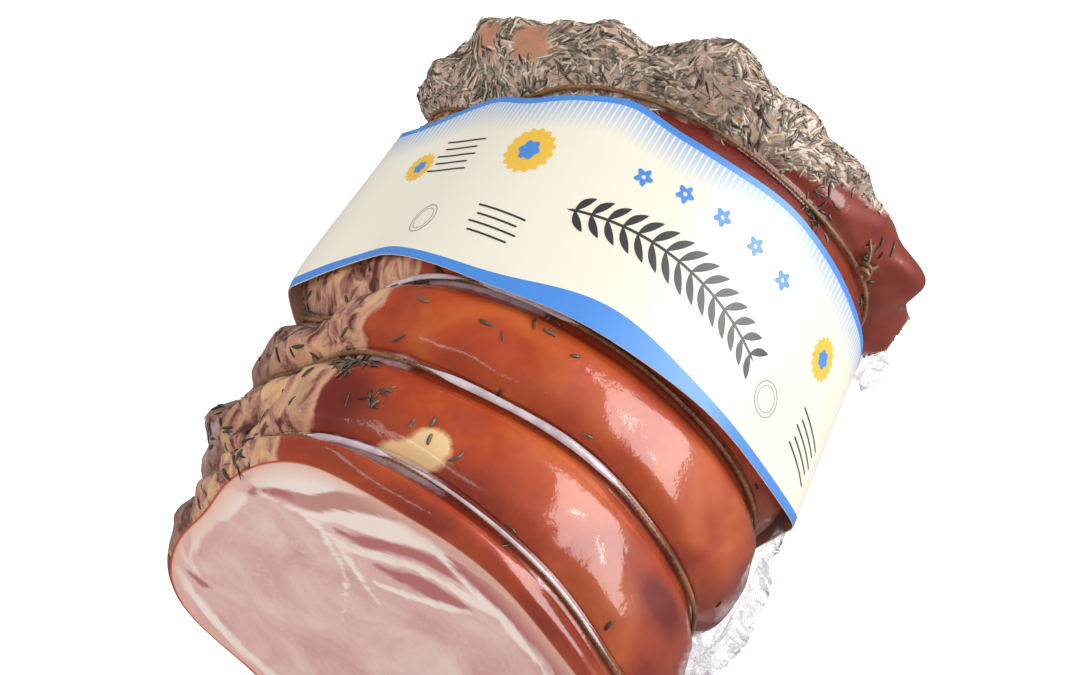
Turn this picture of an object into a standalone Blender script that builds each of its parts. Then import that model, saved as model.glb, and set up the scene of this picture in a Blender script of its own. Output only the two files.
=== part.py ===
"""A rolled, herb-crusted pork roast, cut across, sealed in film under a paper band.

The roll lies on its side along Y on the plane z = 0. Its cut face looks towards -Y and its
crusted end towards +Y. Sizes are in metres and angles in degrees, counted round the roll
from its top towards +X. The pieces are the belly wrapped round the outside, the loin that
runs through it, the turns of twine, the paper band and the sealed edges of the film.
"""

import math
import random

import bmesh
import bpy
import numpy as np
from mathutils import Matrix, Vector

COLUMNS = 64
GAP = 0.0003
TAU = 2.0 * math.pi

# The roll's section: an oval, leaning towards +X, pressed flat where it lies.
AXIS_HEIGHT = 0.0801
FLATNESS = 0.92
SECTION_LEAN = 5.0
# The flatter side above the seam: its depth and width, and its angle at the cut and mid-roll.
DENT_DEPTH = 0.0095
DENT_WIDTH = 21.0
DENT_ANGLES = (-68.0, -47.0)
DENT_STATIONS = (-0.124, -0.030)
DENT_FADE = (0.046, 0.070)
# Hollows in the sides between the strings: depth, angle, width, station and length.
SIDE_HOLLOWS = (
    (0.0052, -84, 24, -0.050, 0.015),
    (0.0030, -90, 18, -0.112, 0.014),
    (0.0035, 94, 34, -0.080, 0.030),
)
# Where the axis's station zero lies, so that the origin is under the middle of the part.
ROLL_X = -0.0017
ROLL_Y = 0.0241

# The cut: a plane that leans back at its top, through the axis at CUT_STATION.
CUT_STATION = -0.124
CUT_LEAN = 12.0
CUT_HALF_WIDTH = 0.084
CUT_LIP = 0.0022
CUT_SWELLS = ((0.004, -112, 15), (0.006, -22, 16), (-0.0055, 50, 22), (-0.0065, -138, 18))
# Rows from the cut edge to the first string: share of the way, rise and share of the relief.
# The last one rises from halfway between the edge and the groove.
LIP_ROWS = ((0.10, 0.0, 0.0), (0.33, 0.0016, 0.5), (0.62, 0.0020, 0.8))
SHOULDER_ROW = (0.86, 0.0012, 0.4)

# Stations along the roll: where each ring runs, and how it wanders with the angle.
# A wander is an amount, the angle of its middle and its width.
STRING_STATIONS = (-0.1042, -0.070, -0.032, 0.0545)
STRING_WANDERS = (
    ((0.006, -8, 34), (-0.006, 64, 22)),
    ((0.0055, -20, 40), (0.0045, 28, 24)),
    ((-0.014, -60, 24), (0.002, 20, 30)),
    ((-0.011, -48, 34), (0.004, 92, 26)),
)
STRING_LEANS = (0.04, 0.0, 0.0, 0.0)
GROOVE_HALF_WIDTHS = (0.0825, 0.0830, 0.0832, 0.0815)
GROOVE_FLOOR = 0.0022
LOBE_CREST_START = (0.0880, 0.0905, 0.0900)
LOBE_CREST_END = (0.0890, 0.0905, 0.0862)
LOBE_STEPS = (5, 5, 6)
LOBE_SQUARENESS = (3.0, 3.0, 6.0)

# The crusted far end: its rim, its tip, and the lumps that show on it and on the seam.
RIM_STATION = 0.071
RIM_HALF_WIDTH = 0.0875
RIM_WANDER = ((0.004, 84, 45),)
TIP_STATION = 0.087
CRUST_START = ((0.22, 0.6, 0.4), (0.60, 1.0, 1.0), (1.0, 1.0, 1.0))
DOME_TILTS = (16, 33, 49, 63, 77)
DOME_RISE_POWER = 1.1
DOME_ROUND_POWER = 0.72
# How far behind a row the point lies that its relief points away from, at the tip.
DOME_CENTRE_DRAW = 0.05
# Lumps: amount, angle, station and width. Their spread round the roll is along this radius.
LUMP_RADIUS = 0.086
CRUST_LUMPS = (
    (-0.0042, -30, 0.072, 0.018),
    (-0.0050, -5, 0.072, 0.010),
    (0.0140, 12, 0.072, 0.015),
    (0.0030, 34, 0.074, 0.011),
    (0.0040, 48, 0.072, 0.012),
    (0.0055, 86, 0.070, 0.014),
    (0.0110, 112, 0.070, 0.020),
    (0.0065, -86, 0.057, 0.016),
    (0.0050, 150, 0.074, 0.020),
    (0.0050, -140, 0.075, 0.020),
)
CRUST_RELIEF = 0.0019
SEAM_RELIEF = 0.0026
RIND_RELIEF = 0.0006
SEAM_ANGLE = -62.0
SEAM_WIDTH = 26.0
RELIEF_WAVELENGTH = 0.024
RELIEF_SEED = 5

# The loin: a rounded oval off the roll's axis, with a blunt end inside the belly.
LOIN_CENTRE = (-0.006, -0.008)
LOIN_HALF_SIZE = (0.062, 0.050)
LOIN_SQUARENESS = 2.5
LOIN_TURN = -7.0
LOIN_END = 0.046
LOIN_TAPER = 0.022
LOIN_BLUNT = 0.62

# The paper band round the middle, and the twine under it.
BAND_STATIONS = (-0.0315, 0.044)
BAND_WANDERS = (
    ((0.0032, -43, 12), (-0.0045, -69, 12), (-0.0027, -6, 17), (0.013, 108, 22)),
    ((-0.0115, -66, 16), (-0.005, -26, 11), (0.0028, -1, 8), (0.0017, 40, 12), (-0.0017, 73, 14)),
)
BAND_HALF_WIDTH_NEAR = 0.0916
BAND_HALF_WIDTH_FAR = 0.0880
BAND_SWELL = ((0.0025, 95, 30),)
BAND_THICKNESS = 0.0006
BAND_LIFT = 0.0004
BAND_ROWS = 4
MEAT_LIFT_UNDER_BAND = 0.0016
TWINE_RADIUS = 0.0010
TWINE_POINTS = 40
TWINE_CLEARANCE = 0.0007

# The sealed edges of the film: crinkled strips that stand off the sides of the roll.
FILM_THICKNESS = 0.0005
FILM_CLEARANCE = 0.0009
FILM_STEPS_ACROSS = 4
FILM_WATCH_ANGLE = 9.0
FILM_WATCH_LENGTH = 0.010
FILM_WAVES = ((0.0022, 0.019), (0.0012, 0.0083))
FILM_WAVE_SHIFT = 1.7
FILM_EDGES = {
    "film_edge_right": (124, (-0.102, -0.024), (0.010, 0.0130), 28),
    "film_edge_far": (122, (0.062, 0.082), (0.009, 0.0105), 9),
    "film_edge_left": (-120, (-0.122, -0.060), (0.010, 0.0130), 20),
}

# Dried rosemary needles, fused to the skin.
NEEDLE_SEED = 11
NEEDLE_LENGTH = (0.0075, 0.0105)
NEEDLE_RADIUS = 0.0011
NEEDLE_SPACING = 0.0085
NEEDLE_TRIES = 60
NEEDLE_LOWEST = 0.012
# Each zone: how many needles, and the least and most angle, or middle and spread on the seam.
NEEDLE_ZONES = {
    "crust": (42, (-150.0, 150.0)),
    "seam": (16, (-50.0, 14.0)),
    "rind": (12, (-30.0, 120.0)),
}
NEEDLE_ROWS = (1.3, 3.7)

COLOURS = {
    "belly_wrap": ((0.42, 0.13, 0.045), 0.28),
    "loin_core": ((0.66, 0.40, 0.37), 0.40),
    "twine": ((0.52, 0.33, 0.16), 0.80),
    "paper_band": ((0.86, 0.82, 0.70), 0.45),
    "film": ((0.82, 0.82, 0.84), 0.15),
}


def make_material(name):
    """A plain material of the colour and roughness listed for a piece."""
    colour, roughness = COLOURS[name]
    material = bpy.data.materials.new(name)
    material.use_nodes = True
    shader = material.node_tree.nodes["Principled BSDF"]
    shader.inputs["Base Color"].default_value = (*colour, 1.0)
    shader.inputs["Roughness"].default_value = roughness
    return material


def add_object(name, mesh, material, collection):
    """Link a mesh as a named object with its material."""
    mesh.materials.append(material)
    piece = bpy.data.objects.new(name, mesh)
    collection.objects.link(piece)
    return piece


def hump(angles, middle, width):
    """A bell curve of the angle, the short way round the roll."""
    away = (np.asarray(angles, float) - middle + 180.0) % 360.0 - 180.0
    return np.exp(-((away / width) ** 2))


def wander(angles, humps):
    """The sum of bell curves, each an amount, a middle angle and a width."""
    total = np.zeros_like(np.asarray(angles, float))
    for amount, middle, width in humps:
        total = total + amount * hump(angles, middle, width)
    return total


def oval(angles):
    """The leaning oval's radius at each angle, for a half width of one."""
    turned = np.radians(np.asarray(angles, float) - SECTION_LEAN)
    return 1.0 / np.sqrt(np.sin(turned) ** 2 + (np.cos(turned) / FLATNESS) ** 2)


def section(angles, half_width, stations):
    """Radii of the roll's section: the oval, less the dent above the seam."""
    share = np.clip((stations - DENT_STATIONS[0]) / (DENT_STATIONS[1] - DENT_STATIONS[0]), 0.0, 1.0)
    middle = DENT_ANGLES[0] + share * (DENT_ANGLES[1] - DENT_ANGLES[0])
    fade = np.clip((DENT_FADE[1] - stations) / (DENT_FADE[1] - DENT_FADE[0]), 0.0, 1.0)
    radii = half_width * oval(angles) - DENT_DEPTH * fade * hump(angles, middle, DENT_WIDTH)
    for depth, angle, width, station, length in SIDE_HOLLOWS:
        reach = np.exp(-((stations - station) / length) ** 2)
        radii = radii - depth * reach * hump(angles, angle, width)
    return radii


def to_points(angles, radii, stations):
    """Points from the angle round the axis, the distance from it, and the station."""
    turned = np.radians(np.asarray(angles, float))
    x = ROLL_X + radii * np.sin(turned)
    z = AXIS_HEIGHT + radii * np.cos(turned)
    return np.stack([x, stations + ROLL_Y + 0.0 * x, z], axis=-1)


def string_path(index, angles):
    """The station of one turn of twine at each angle; the first leans with the cut."""
    stations = STRING_STATIONS[index] + wander(angles, STRING_WANDERS[index])
    return stations + STRING_LEANS[index] * AXIS_HEIGHT * np.cos(np.radians(angles))


def cut_station(angles, radii):
    """The station of the cut plane at each angle and radius."""
    height = radii * np.cos(np.radians(angles))
    return CUT_STATION + math.tan(math.radians(CUT_LEAN)) * height


def ripple(points, wavelength, seed):
    """A smooth field between about -1 and 1: plane waves in seeded directions."""
    draw = np.random.default_rng(seed)
    total = np.zeros(points.shape[:-1])
    waves = 7
    for _ in range(waves):
        direction = draw.normal(size=3)
        direction /= np.linalg.norm(direction)
        stretch = draw.uniform(0.75, 1.6)
        phase = draw.uniform(0.0, TAU)
        total = total + np.sin(points @ direction * TAU * stretch / wavelength + phase)
    return total / math.sqrt(waves)


def skin_rows(angles):
    """Rows of the skin from the cut edge to the far rim.

    Each row is its stations, its radii and the share of the relief that it takes.
    A lobe between two strings rises from one groove and falls to the next.
    """
    edge = section(angles, CUT_HALF_WIDTH, CUT_STATION) + wander(angles, CUT_SWELLS)
    first = string_path(0, angles) - GROOVE_FLOOR
    start = cut_station(angles, edge)
    rows = [(cut_station(angles, edge - CUT_LIP), edge - CUT_LIP, 0.0)]
    for share, rise, relief in LIP_ROWS:
        rows.append((start + share * (first - start), edge + rise, relief))
    share, rise, relief = SHOULDER_ROW
    halfway = 0.5 * (edge + section(angles, GROOVE_HALF_WIDTHS[0], first))
    rows.append((start + share * (first - start), halfway + rise, relief))
    for index, depth in enumerate(GROOVE_HALF_WIDTHS):
        path = string_path(index, angles)
        for side in (-1.0, 1.0):
            rows.append((path + side * GROOVE_FLOOR, section(angles, depth, path), 0.0))
        if index == len(LOBE_STEPS):
            break
        after = string_path(index + 1, angles)
        steps = LOBE_STEPS[index]
        for step in range(steps):
            share = (step + 0.5) / steps
            share = 0.5 - 0.5 * math.cos(math.pi * share)
            base = depth + share * (GROOVE_HALF_WIDTHS[index + 1] - depth)
            crest = LOBE_CREST_START[index]
            crest += share * (LOBE_CREST_END[index] - crest)
            rise = 1.0 - abs(2.0 * share - 1.0) ** LOBE_SQUARENESS[index]
            low = path + GROOVE_FLOOR
            high = after - GROOVE_FLOOR
            stations = low + share * (high - low)
            radii = section(angles, base + rise * (crest - base), stations)
            relief = rise if index < 2 else 0.0
            rows.append((stations, radii, relief))
    return rows


def dome_rows(angles):
    """Rows from the last string over the far rim to near the tip."""
    rim = RIM_STATION + wander(angles, RIM_WANDER)
    last = string_path(len(STRING_STATIONS) - 1, angles) + GROOVE_FLOOR
    depth = GROOVE_HALF_WIDTHS[-1]
    rows = []
    for share, rise, relief in CRUST_START:
        stations = last + share * (rim - last)
        half_width = depth + rise * (RIM_HALF_WIDTH - depth)
        rows.append((stations, section(angles, half_width, stations), relief))
    for tilt in DOME_TILTS:
        turned = math.radians(tilt)
        stations = rim + (TIP_STATION - rim) * math.sin(turned) ** DOME_RISE_POWER
        radii = section(angles, RIM_HALF_WIDTH, rim) * math.cos(turned) ** DOME_ROUND_POWER
        rows.append((stations, radii, 1.0))
    return rows


def skin_grid():
    """The whole skin as rows of points, with crust, seam and rind relief added."""
    angles = np.arange(COLUMNS) * 360.0 / COLUMNS
    rows = skin_rows(angles)
    dome_start = len(rows)
    rows = rows + dome_rows(angles)
    grid = np.array([to_points(angles, radii, stations) for stations, radii, _ in rows])
    share = np.array([relief for _, _, relief in rows])[:, None]
    axis_point = grid.copy()
    axis_point[..., 0] = ROLL_X
    axis_point[..., 2] = AXIS_HEIGHT
    draw_back = np.linspace(0.0, DOME_CENTRE_DRAW, len(rows) - dome_start - 1)
    axis_point[dome_start + 1:, :, 1] -= draw_back[:, None]
    outward = grid - axis_point
    outward /= np.linalg.norm(outward, axis=-1, keepdims=True)
    seam = hump(angles, SEAM_ANGLE, SEAM_WIDTH)[None, :]
    on_dome = (np.arange(len(rows)) >= dome_start)[:, None]
    height = np.where(on_dome, CRUST_RELIEF, RIND_RELIEF + (SEAM_RELIEF - RIND_RELIEF) * seam)
    lift = share * height * ripple(grid, RELIEF_WAVELENGTH, RELIEF_SEED)
    station = grid[..., 1] - ROLL_Y
    for amount, angle, middle, width in CRUST_LUMPS:
        turn = (angles - angle + 180.0) % 360.0 - 180.0
        away = np.radians(turn)[None, :] * LUMP_RADIUS
        reach = np.exp(-(away ** 2 + (station - middle) ** 2) / width ** 2)
        lift = lift + np.where(on_dome, share * amount * reach, 0.0)
    grid = grid + lift[..., None] * outward
    floor = np.zeros(grid.shape[:2])
    band_first = dome_start - 2 - LOBE_STEPS[2]
    floor[band_first:dome_start - 2] = MEAT_LIFT_UNDER_BAND
    grid[..., 2] = np.maximum(grid[..., 2], floor)
    return grid


def loin_ring(grow):
    """The loin's outline as offsets in X and Z from the roll's axis."""
    turns = np.arange(COLUMNS) * TAU / COLUMNS
    side = np.sin(turns)
    rise = np.cos(turns)
    width = LOIN_HALF_SIZE[0] + grow
    height = LOIN_HALF_SIZE[1] + grow
    power = LOIN_SQUARENESS
    reach = (abs(side / width) ** power + abs(rise / height) ** power) ** (-1.0 / power)
    lean = math.radians(LOIN_TURN)
    x = reach * (side * math.cos(lean) + rise * math.sin(lean))
    z = reach * (rise * math.cos(lean) - side * math.sin(lean))
    return x, z


def loin_rows(grow):
    """Rings of the loin from the cut face to its blunt end; grow widens it all round."""
    x, z = loin_ring(grow)
    middle_x = ROLL_X + LOIN_CENTRE[0]
    middle_z = LOIN_CENTRE[1]
    lean = math.tan(math.radians(CUT_LEAN))
    rings = []
    face = CUT_STATION + lean * (middle_z + z)
    rings.append(np.stack([middle_x + x, face + ROLL_Y, AXIS_HEIGHT + middle_z + z], -1))
    for station, size in ((LOIN_END - LOIN_TAPER, 1.0), (LOIN_END + grow, LOIN_BLUNT)):
        y = np.full(COLUMNS, station + ROLL_Y)
        rings.append(np.stack([middle_x + size * x, y, AXIS_HEIGHT + middle_z + size * z], -1))
    return np.array(rings)


def bridge(first, second, count):
    """Quads between two rings of vertices that start at the given indices."""
    steps = range(count)
    return [(first + i, first + (i + 1) % count, second + (i + 1) % count, second + i) for i in steps]


def close_mesh(name, points, faces):
    """A mesh of triangles with its faces turned outwards."""
    mesh = bpy.data.meshes.new(name)
    mesh.from_pydata([tuple(p) for p in points], [], faces)
    tidy = bmesh.new()
    tidy.from_mesh(mesh)
    bmesh.ops.recalc_face_normals(tidy, faces=tidy.faces)
    bmesh.ops.triangulate(tidy, faces=tidy.faces)
    tidy.to_mesh(mesh)
    tidy.free()
    return mesh


def fan(ring, tip, count):
    """Triangles from one ring of vertices to a tip."""
    return [(ring * count + i, ring * count + (i + 1) % count, tip) for i in range(count)]


def loin_mesh():
    """The loin: its rings, closed by a flat cut face and a blunt end."""
    rings = loin_rows(0.0)
    points = np.vstack([rings.reshape(-1, 3), rings[0].mean(axis=0), rings[-1].mean(axis=0)])
    faces = []
    for i in range(len(rings) - 1):
        faces += bridge(i * COLUMNS, (i + 1) * COLUMNS, COLUMNS)
    faces += fan(0, len(points) - 2, COLUMNS)
    faces += fan(len(rings) - 1, len(points) - 1, COLUMNS)
    return close_mesh("loin_core", points, faces)


def belly_mesh(grid):
    """The skin, the ring of cut belly and the pocket for the loin, as one closed mesh."""
    pocket = loin_rows(GAP)
    count = COLUMNS
    outer = len(grid)
    faces = []
    for i in range(outer - 1):
        faces += bridge(i * count, (i + 1) * count, count)
    faces += bridge(0, outer * count, count)
    for i in range(len(pocket) - 1):
        faces += bridge((outer + i) * count, (outer + i + 1) * count, count)
    tip = grid[-1].mean(axis=0)
    tip[1] = max(TIP_STATION + ROLL_Y, grid[-1][:, 1].max())
    pocket_end = pocket[-1].mean(axis=0)
    points = np.vstack([grid.reshape(-1, 3), pocket.reshape(-1, 3), tip, pocket_end])
    faces += fan(outer - 1, len(points) - 2, count)
    faces += fan(outer + len(pocket) - 1, len(points) - 1, count)
    return close_mesh("belly_wrap", points, faces)


def on_skin(grid, row, column):
    """A point of the skin and its outward direction, between rows and columns."""
    i = int(row)
    j = int(column) % COLUMNS
    k = (j + 1) % COLUMNS
    u = row - i
    v = column - int(column)
    near = grid[i, j] * (1 - v) + grid[i, k] * v
    far = grid[i + 1, j] * (1 - v) + grid[i + 1, k] * v
    point = near * (1 - u) + far * u
    along = far - near
    around = grid[i, k] - grid[i, j]
    normal = np.cross(along, around)
    normal /= np.linalg.norm(normal)
    centre = np.array([ROLL_X, point[1], AXIS_HEIGHT])
    if normal @ (point - centre) < 0.0:
        normal = -normal
    return Vector(point), Vector(normal)


def needle_spots(grid):
    """Seeded places for the needles: points and directions of the skin for each zone."""
    draw = random.Random(NEEDLE_SEED)
    first_lobe = len(LIP_ROWS) + 4
    second_lobe = first_lobe + LOBE_STEPS[0] + 2
    crust_row = len(grid) - len(DOME_TILTS) - 2
    last_row = len(grid) - 2.4
    spots = []
    for zone, (wanted, (low, high)) in NEEDLE_ZONES.items():
        found = 0
        for _ in range(wanted * NEEDLE_TRIES):
            if found == wanted:
                break
            if zone == "crust":
                row = draw.uniform(crust_row, last_row)
            else:
                row = draw.choice((first_lobe, second_lobe)) + draw.uniform(*NEEDLE_ROWS)
            angle = draw.gauss(low, high) if zone == "seam" else draw.uniform(low, high)
            column = (angle % 360.0) / 360.0 * COLUMNS
            point, normal = on_skin(grid, row, column)
            if point.z < NEEDLE_LOWEST:
                continue
            if any((point - other).length < NEEDLE_SPACING for other, _, _ in spots):
                continue
            spots.append((point, normal, draw.uniform(0.0, math.pi)))
            found += 1
    return spots


def fuse_needles(belly, grid):
    """Union the needles with the belly and drop the loose ones."""
    draw = random.Random(NEEDLE_SEED + 1)
    needles = bpy.data.collections.new("needles")
    bpy.context.scene.collection.children.link(needles)
    for number, (point, normal, turn) in enumerate(needle_spots(grid)):
        shape = bmesh.new()
        bmesh.ops.create_uvsphere(shape, u_segments=5, v_segments=4, radius=1.0)
        length = draw.uniform(*NEEDLE_LENGTH)
        scale = Matrix.Diagonal((NEEDLE_RADIUS, NEEDLE_RADIUS, 0.5 * length, 1.0))
        lay = normal.to_track_quat("X", "Z").to_matrix().to_4x4()
        spin = Matrix.Rotation(turn, 4, normal)
        shape.transform(Matrix.Translation(point) @ spin @ lay @ scale)
        mesh = bpy.data.meshes.new(f"needle_{number}")
        shape.to_mesh(mesh)
        shape.free()
        needles.objects.link(bpy.data.objects.new(f"needle_{number}", mesh))
    union = belly.modifiers.new("herbs", "BOOLEAN")
    union.operation = "UNION"
    union.operand_type = "COLLECTION"
    union.collection = needles
    union.solver = "EXACT"
    graph = bpy.context.evaluated_depsgraph_get()
    joined = bpy.data.meshes.new_from_object(belly.evaluated_get(graph), depsgraph=graph)
    belly.modifiers.clear()
    belly.data = joined
    for needle in list(needles.objects):
        bpy.data.objects.remove(needle)
    bpy.data.collections.remove(needles)


def add_twine(collection, material):
    """The turns of twine, each a closed tube that lies in its groove."""
    angles = np.arange(TWINE_POINTS) * 360.0 / TWINE_POINTS
    for index, groove in enumerate(GROOVE_HALF_WIDTHS):
        path = string_path(index, angles)
        radii = section(angles, groove, path) + TWINE_CLEARANCE + TWINE_RADIUS
        points = to_points(angles, radii, path)
        curve = bpy.data.curves.new(f"string_{index + 1}", "CURVE")
        curve.dimensions = "3D"
        curve.bevel_depth = TWINE_RADIUS
        curve.bevel_resolution = 1
        spline = curve.splines.new("POLY")
        spline.points.add(TWINE_POINTS - 1)
        for knot, point in zip(spline.points, points):
            knot.co = (*point, 1.0)
        spline.use_cyclic_u = True
        curve.materials.append(material)
        collection.objects.link(bpy.data.objects.new(f"string_{index + 1}", curve))


def add_band(collection, material):
    """The paper band: an open sleeve, thickened, that clears the floor."""
    angles = np.arange(COLUMNS) * 360.0 / COLUMNS
    near = BAND_STATIONS[0] + wander(angles, BAND_WANDERS[0])
    far = BAND_STATIONS[1] + wander(angles, BAND_WANDERS[1])
    rings = []
    for row in range(BAND_ROWS):
        share = row / (BAND_ROWS - 1)
        half = BAND_HALF_WIDTH_NEAR + share * (BAND_HALF_WIDTH_FAR - BAND_HALF_WIDTH_NEAR)
        stations = near + share * (far - near)
        swell = (1.0 - share) * wander(angles, BAND_SWELL)
        ring = to_points(angles, section(angles, half, stations) + swell, stations)
        ring[:, 2] = np.maximum(ring[:, 2], BAND_LIFT + 0.5 * BAND_THICKNESS)
        rings.append(ring)
    mesh = bpy.data.meshes.new("paper_band")
    faces = []
    for row in range(BAND_ROWS - 1):
        faces += [face[::-1] for face in bridge(row * COLUMNS, (row + 1) * COLUMNS, COLUMNS)]
    mesh.from_pydata([tuple(p) for p in np.concatenate(rings)], [], faces)
    band = add_object("paper_band", mesh, material, collection)
    wall = band.modifiers.new("thickness", "SOLIDIFY")
    wall.thickness = BAND_THICKNESS
    wall.offset = 0.0


def skin_radius(grid, angle, station):
    """The largest radius of the skin near an angle and a station."""
    angles = np.arange(COLUMNS) * 360.0 / COLUMNS
    aside = abs((angles - angle + 180.0) % 360.0 - 180.0) < FILM_WATCH_ANGLE
    radii = np.hypot(grid[..., 0] - ROLL_X, grid[..., 2] - AXIS_HEIGHT)
    near = abs(grid[..., 1] - ROLL_Y - station) < FILM_WATCH_LENGTH
    return float(radii[near & aside[None, :]].max())


def add_film_edge(name, grid, collection, material):
    """One sealed edge of the film: a strip that follows the side of the roll."""
    angle, (start, end), (width, fan), steps = FILM_EDGES[name]
    points = []
    for i in range(steps + 1):
        station = start + (end - start) * i / steps
        root = skin_radius(grid, angle, station) + FILM_CLEARANCE + 0.5 * FILM_THICKNESS
        for j in range(FILM_STEPS_ACROSS + 1):
            share = j / FILM_STEPS_ACROSS
            reach = width + (fan - width) * math.sin(math.pi * i / steps)
            crinkle = 0.0
            for height, length in FILM_WAVES:
                crinkle += height * math.sin(TAU * station / length + FILM_WAVE_SHIFT * share)
            turned = math.radians(angle) + share * crinkle / root
            radius = root + share * reach
            x = ROLL_X + radius * math.sin(turned)
            z = AXIS_HEIGHT + radius * math.cos(turned)
            points.append((x, station + ROLL_Y, z))
    faces = []
    row = FILM_STEPS_ACROSS + 1
    for i in range(steps):
        for j in range(FILM_STEPS_ACROSS):
            a = i * row + j
            faces.append((a, a + 1, a + row + 1, a + row))
    mesh = bpy.data.meshes.new(name)
    mesh.from_pydata(points, [], faces)
    strip = add_object(name, mesh, material, collection)
    wall = strip.modifiers.new("thickness", "SOLIDIFY")
    wall.thickness = FILM_THICKNESS
    wall.offset = 0.0


def main():
    """Build every piece of the roast."""
    for thing in list(bpy.data.objects):
        bpy.data.objects.remove(thing)
    collection = bpy.data.collections.new("rolled_roast")
    bpy.context.scene.collection.children.link(collection)
    looks = {name: make_material(name) for name in COLOURS}
    grid = skin_grid()
    belly = add_object("belly_wrap", belly_mesh(grid), looks["belly_wrap"], collection)
    fuse_needles(belly, grid)
    add_object("loin_core", loin_mesh(), looks["loin_core"], collection)
    add_twine(collection, looks["twine"])
    add_band(collection, looks["paper_band"])
    for name in FILM_EDGES:
        add_film_edge(name, grid, collection, looks["film"])


main()
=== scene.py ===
"""The looks of a rolled, herb-crusted pork roast, cut across and sealed in clear film.

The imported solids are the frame. Every soft or fine form is a surface worked out here from the
same roll: the glossy rind with its string grooves, the cut face with its bands of fat and
lean, the rosemary crust, the twine, the printed paper band and the crinkled film. Lengths are
metres and angles degrees from the roll's top towards +X, unless a name says otherwise.
"""

import logging
import math
from collections.abc import Callable
from dataclasses import dataclass
from enum import Enum

import bmesh
import bpy
import numpy as np
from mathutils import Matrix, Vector


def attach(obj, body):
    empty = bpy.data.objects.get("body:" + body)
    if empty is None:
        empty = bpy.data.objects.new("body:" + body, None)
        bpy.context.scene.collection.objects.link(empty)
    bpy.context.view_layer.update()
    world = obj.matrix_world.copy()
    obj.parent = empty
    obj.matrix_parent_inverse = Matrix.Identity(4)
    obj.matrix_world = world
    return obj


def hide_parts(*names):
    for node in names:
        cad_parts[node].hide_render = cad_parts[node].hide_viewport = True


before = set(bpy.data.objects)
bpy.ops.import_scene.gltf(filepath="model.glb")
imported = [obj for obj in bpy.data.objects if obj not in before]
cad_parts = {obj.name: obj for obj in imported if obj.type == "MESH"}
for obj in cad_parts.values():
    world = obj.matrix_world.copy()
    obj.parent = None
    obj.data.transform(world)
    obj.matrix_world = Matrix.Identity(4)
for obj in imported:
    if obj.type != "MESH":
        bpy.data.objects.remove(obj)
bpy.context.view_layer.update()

TAU = 2.0 * math.pi
MM = 0.001
BODY = "root"
Array = np.ndarray
Humps = tuple[tuple[float, float, float], ...]
Patches = tuple[tuple[float, ...], ...]
Pair = tuple[float, float]
Triple = tuple[float, float, float]
Material = bpy.types.Material
Piece = bpy.types.Object
Socket = bpy.types.NodeSocket

# The lattice noise's hash: a prime for each axis, one for the seed, and the mixing steps.
OCTAVE_SHIFT = 17.3
AXIS_PRIMES = (73856093, 19349663, 83492791)
SEED_PRIME = 1013904223
MIXING_STEPS = ((15, 2246822519), (13, 3266489917))
WORD = 0xFFFFFFFF
HALF_WORD = 0xFFFF

log = logging.getLogger("roast")


class Slot(Enum):
    """The record's material slots."""

    RIND = "pork_rind"
    LOIN = "cooked_loin"
    TWINE = "twine"
    PAPER = "band_paper"
    FILM = "clear_film"


# Shared arithmetic.


def smooth(low: float, high: float, values: Array) -> Array:
    """Ease from 0 at low to 1 at high by the cubic 3t^2 - 2t^3.

    Args:
        low: Value that gives 0.
        high: Value that gives 1; it may be less than low.
        values: Numbers to ease.

    Returns:
        The eased share of each value.
    """
    share = np.clip((np.asarray(values, float) - low) / (high - low), 0.0, 1.0)
    return share * share * (3.0 - 2.0 * share)


def turn_between(angles: Array, middle: float) -> Array:
    """Degrees from middle to each angle, the short way round."""
    return (np.asarray(angles, float) - middle + 180.0) % 360.0 - 180.0


def hump(angles: Array, middle: float, width: float) -> Array:
    """A bell curve of the angle: exp(-(away / width)^2)."""
    return np.exp(-((turn_between(angles, middle) / width) ** 2))


def wander(angles: Array, humps: Humps) -> Array:
    """The sum of bell curves, each an amount, a middle angle and a width."""
    total = np.zeros_like(np.asarray(angles, float))
    for amount, middle, width in humps:
        total = total + amount * hump(angles, middle, width)
    return total


def lattice_noise(points: Array, size: float, seed: int, octaves: int = 1) -> Array:
    """Smooth noise between about -1 and 1.

    Each whole-number corner of a cube lattice gets a hashed random value, and the eight
    corners round a point are blended by the easing cubic. Octaves halve the size and weight.

    Args:
        points: Positions, with X, Y and Z last.
        size: Edge of a lattice cube, in the points' unit.
        seed: Number that picks the random values.
        octaves: How many sizes are summed.

    Returns:
        One value a point.
    """
    total = np.zeros(points.shape[:-1])
    weight = 1.0
    for octave in range(octaves):
        place = points / (size / 2.0 ** octave) + OCTAVE_SHIFT * octave
        base = np.floor(place).astype(np.int64)
        part = place - base
        part = part * part * (3.0 - 2.0 * part)
        for corner in range(8):
            step = np.array([corner & 1, corner >> 1 & 1, corner >> 2 & 1])
            key = ((base + step) * np.array(AXIS_PRIMES)).sum(axis=-1)
            key = (key + seed * SEED_PRIME) & WORD
            for shift, prime in MIXING_STEPS:
                key = ((key ^ (key >> shift)) * prime) & WORD
            value = 2.0 * ((key ^ (key >> 16)) & HALF_WORD) / HALF_WORD - 1.0
            share = np.where(step == 1, part, 1.0 - part).prod(axis=-1)
            total = total + weight * share * value
        weight *= 0.5
    return total


def ripple(points: Array, wavelength: float, seed: int) -> Array:
    """A smooth field between about -1 and 1: plane waves in seeded directions."""
    draw = np.random.default_rng(seed)
    total = np.zeros(points.shape[:-1])
    waves = 7
    for _ in range(waves):
        direction = draw.normal(size=3)
        direction /= np.linalg.norm(direction)
        stretch = draw.uniform(0.75, 1.6)
        phase = draw.uniform(0.0, TAU)
        total = total + np.sin(points @ direction * TAU * stretch / wavelength + phase)
    return total / math.sqrt(waves)


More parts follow.
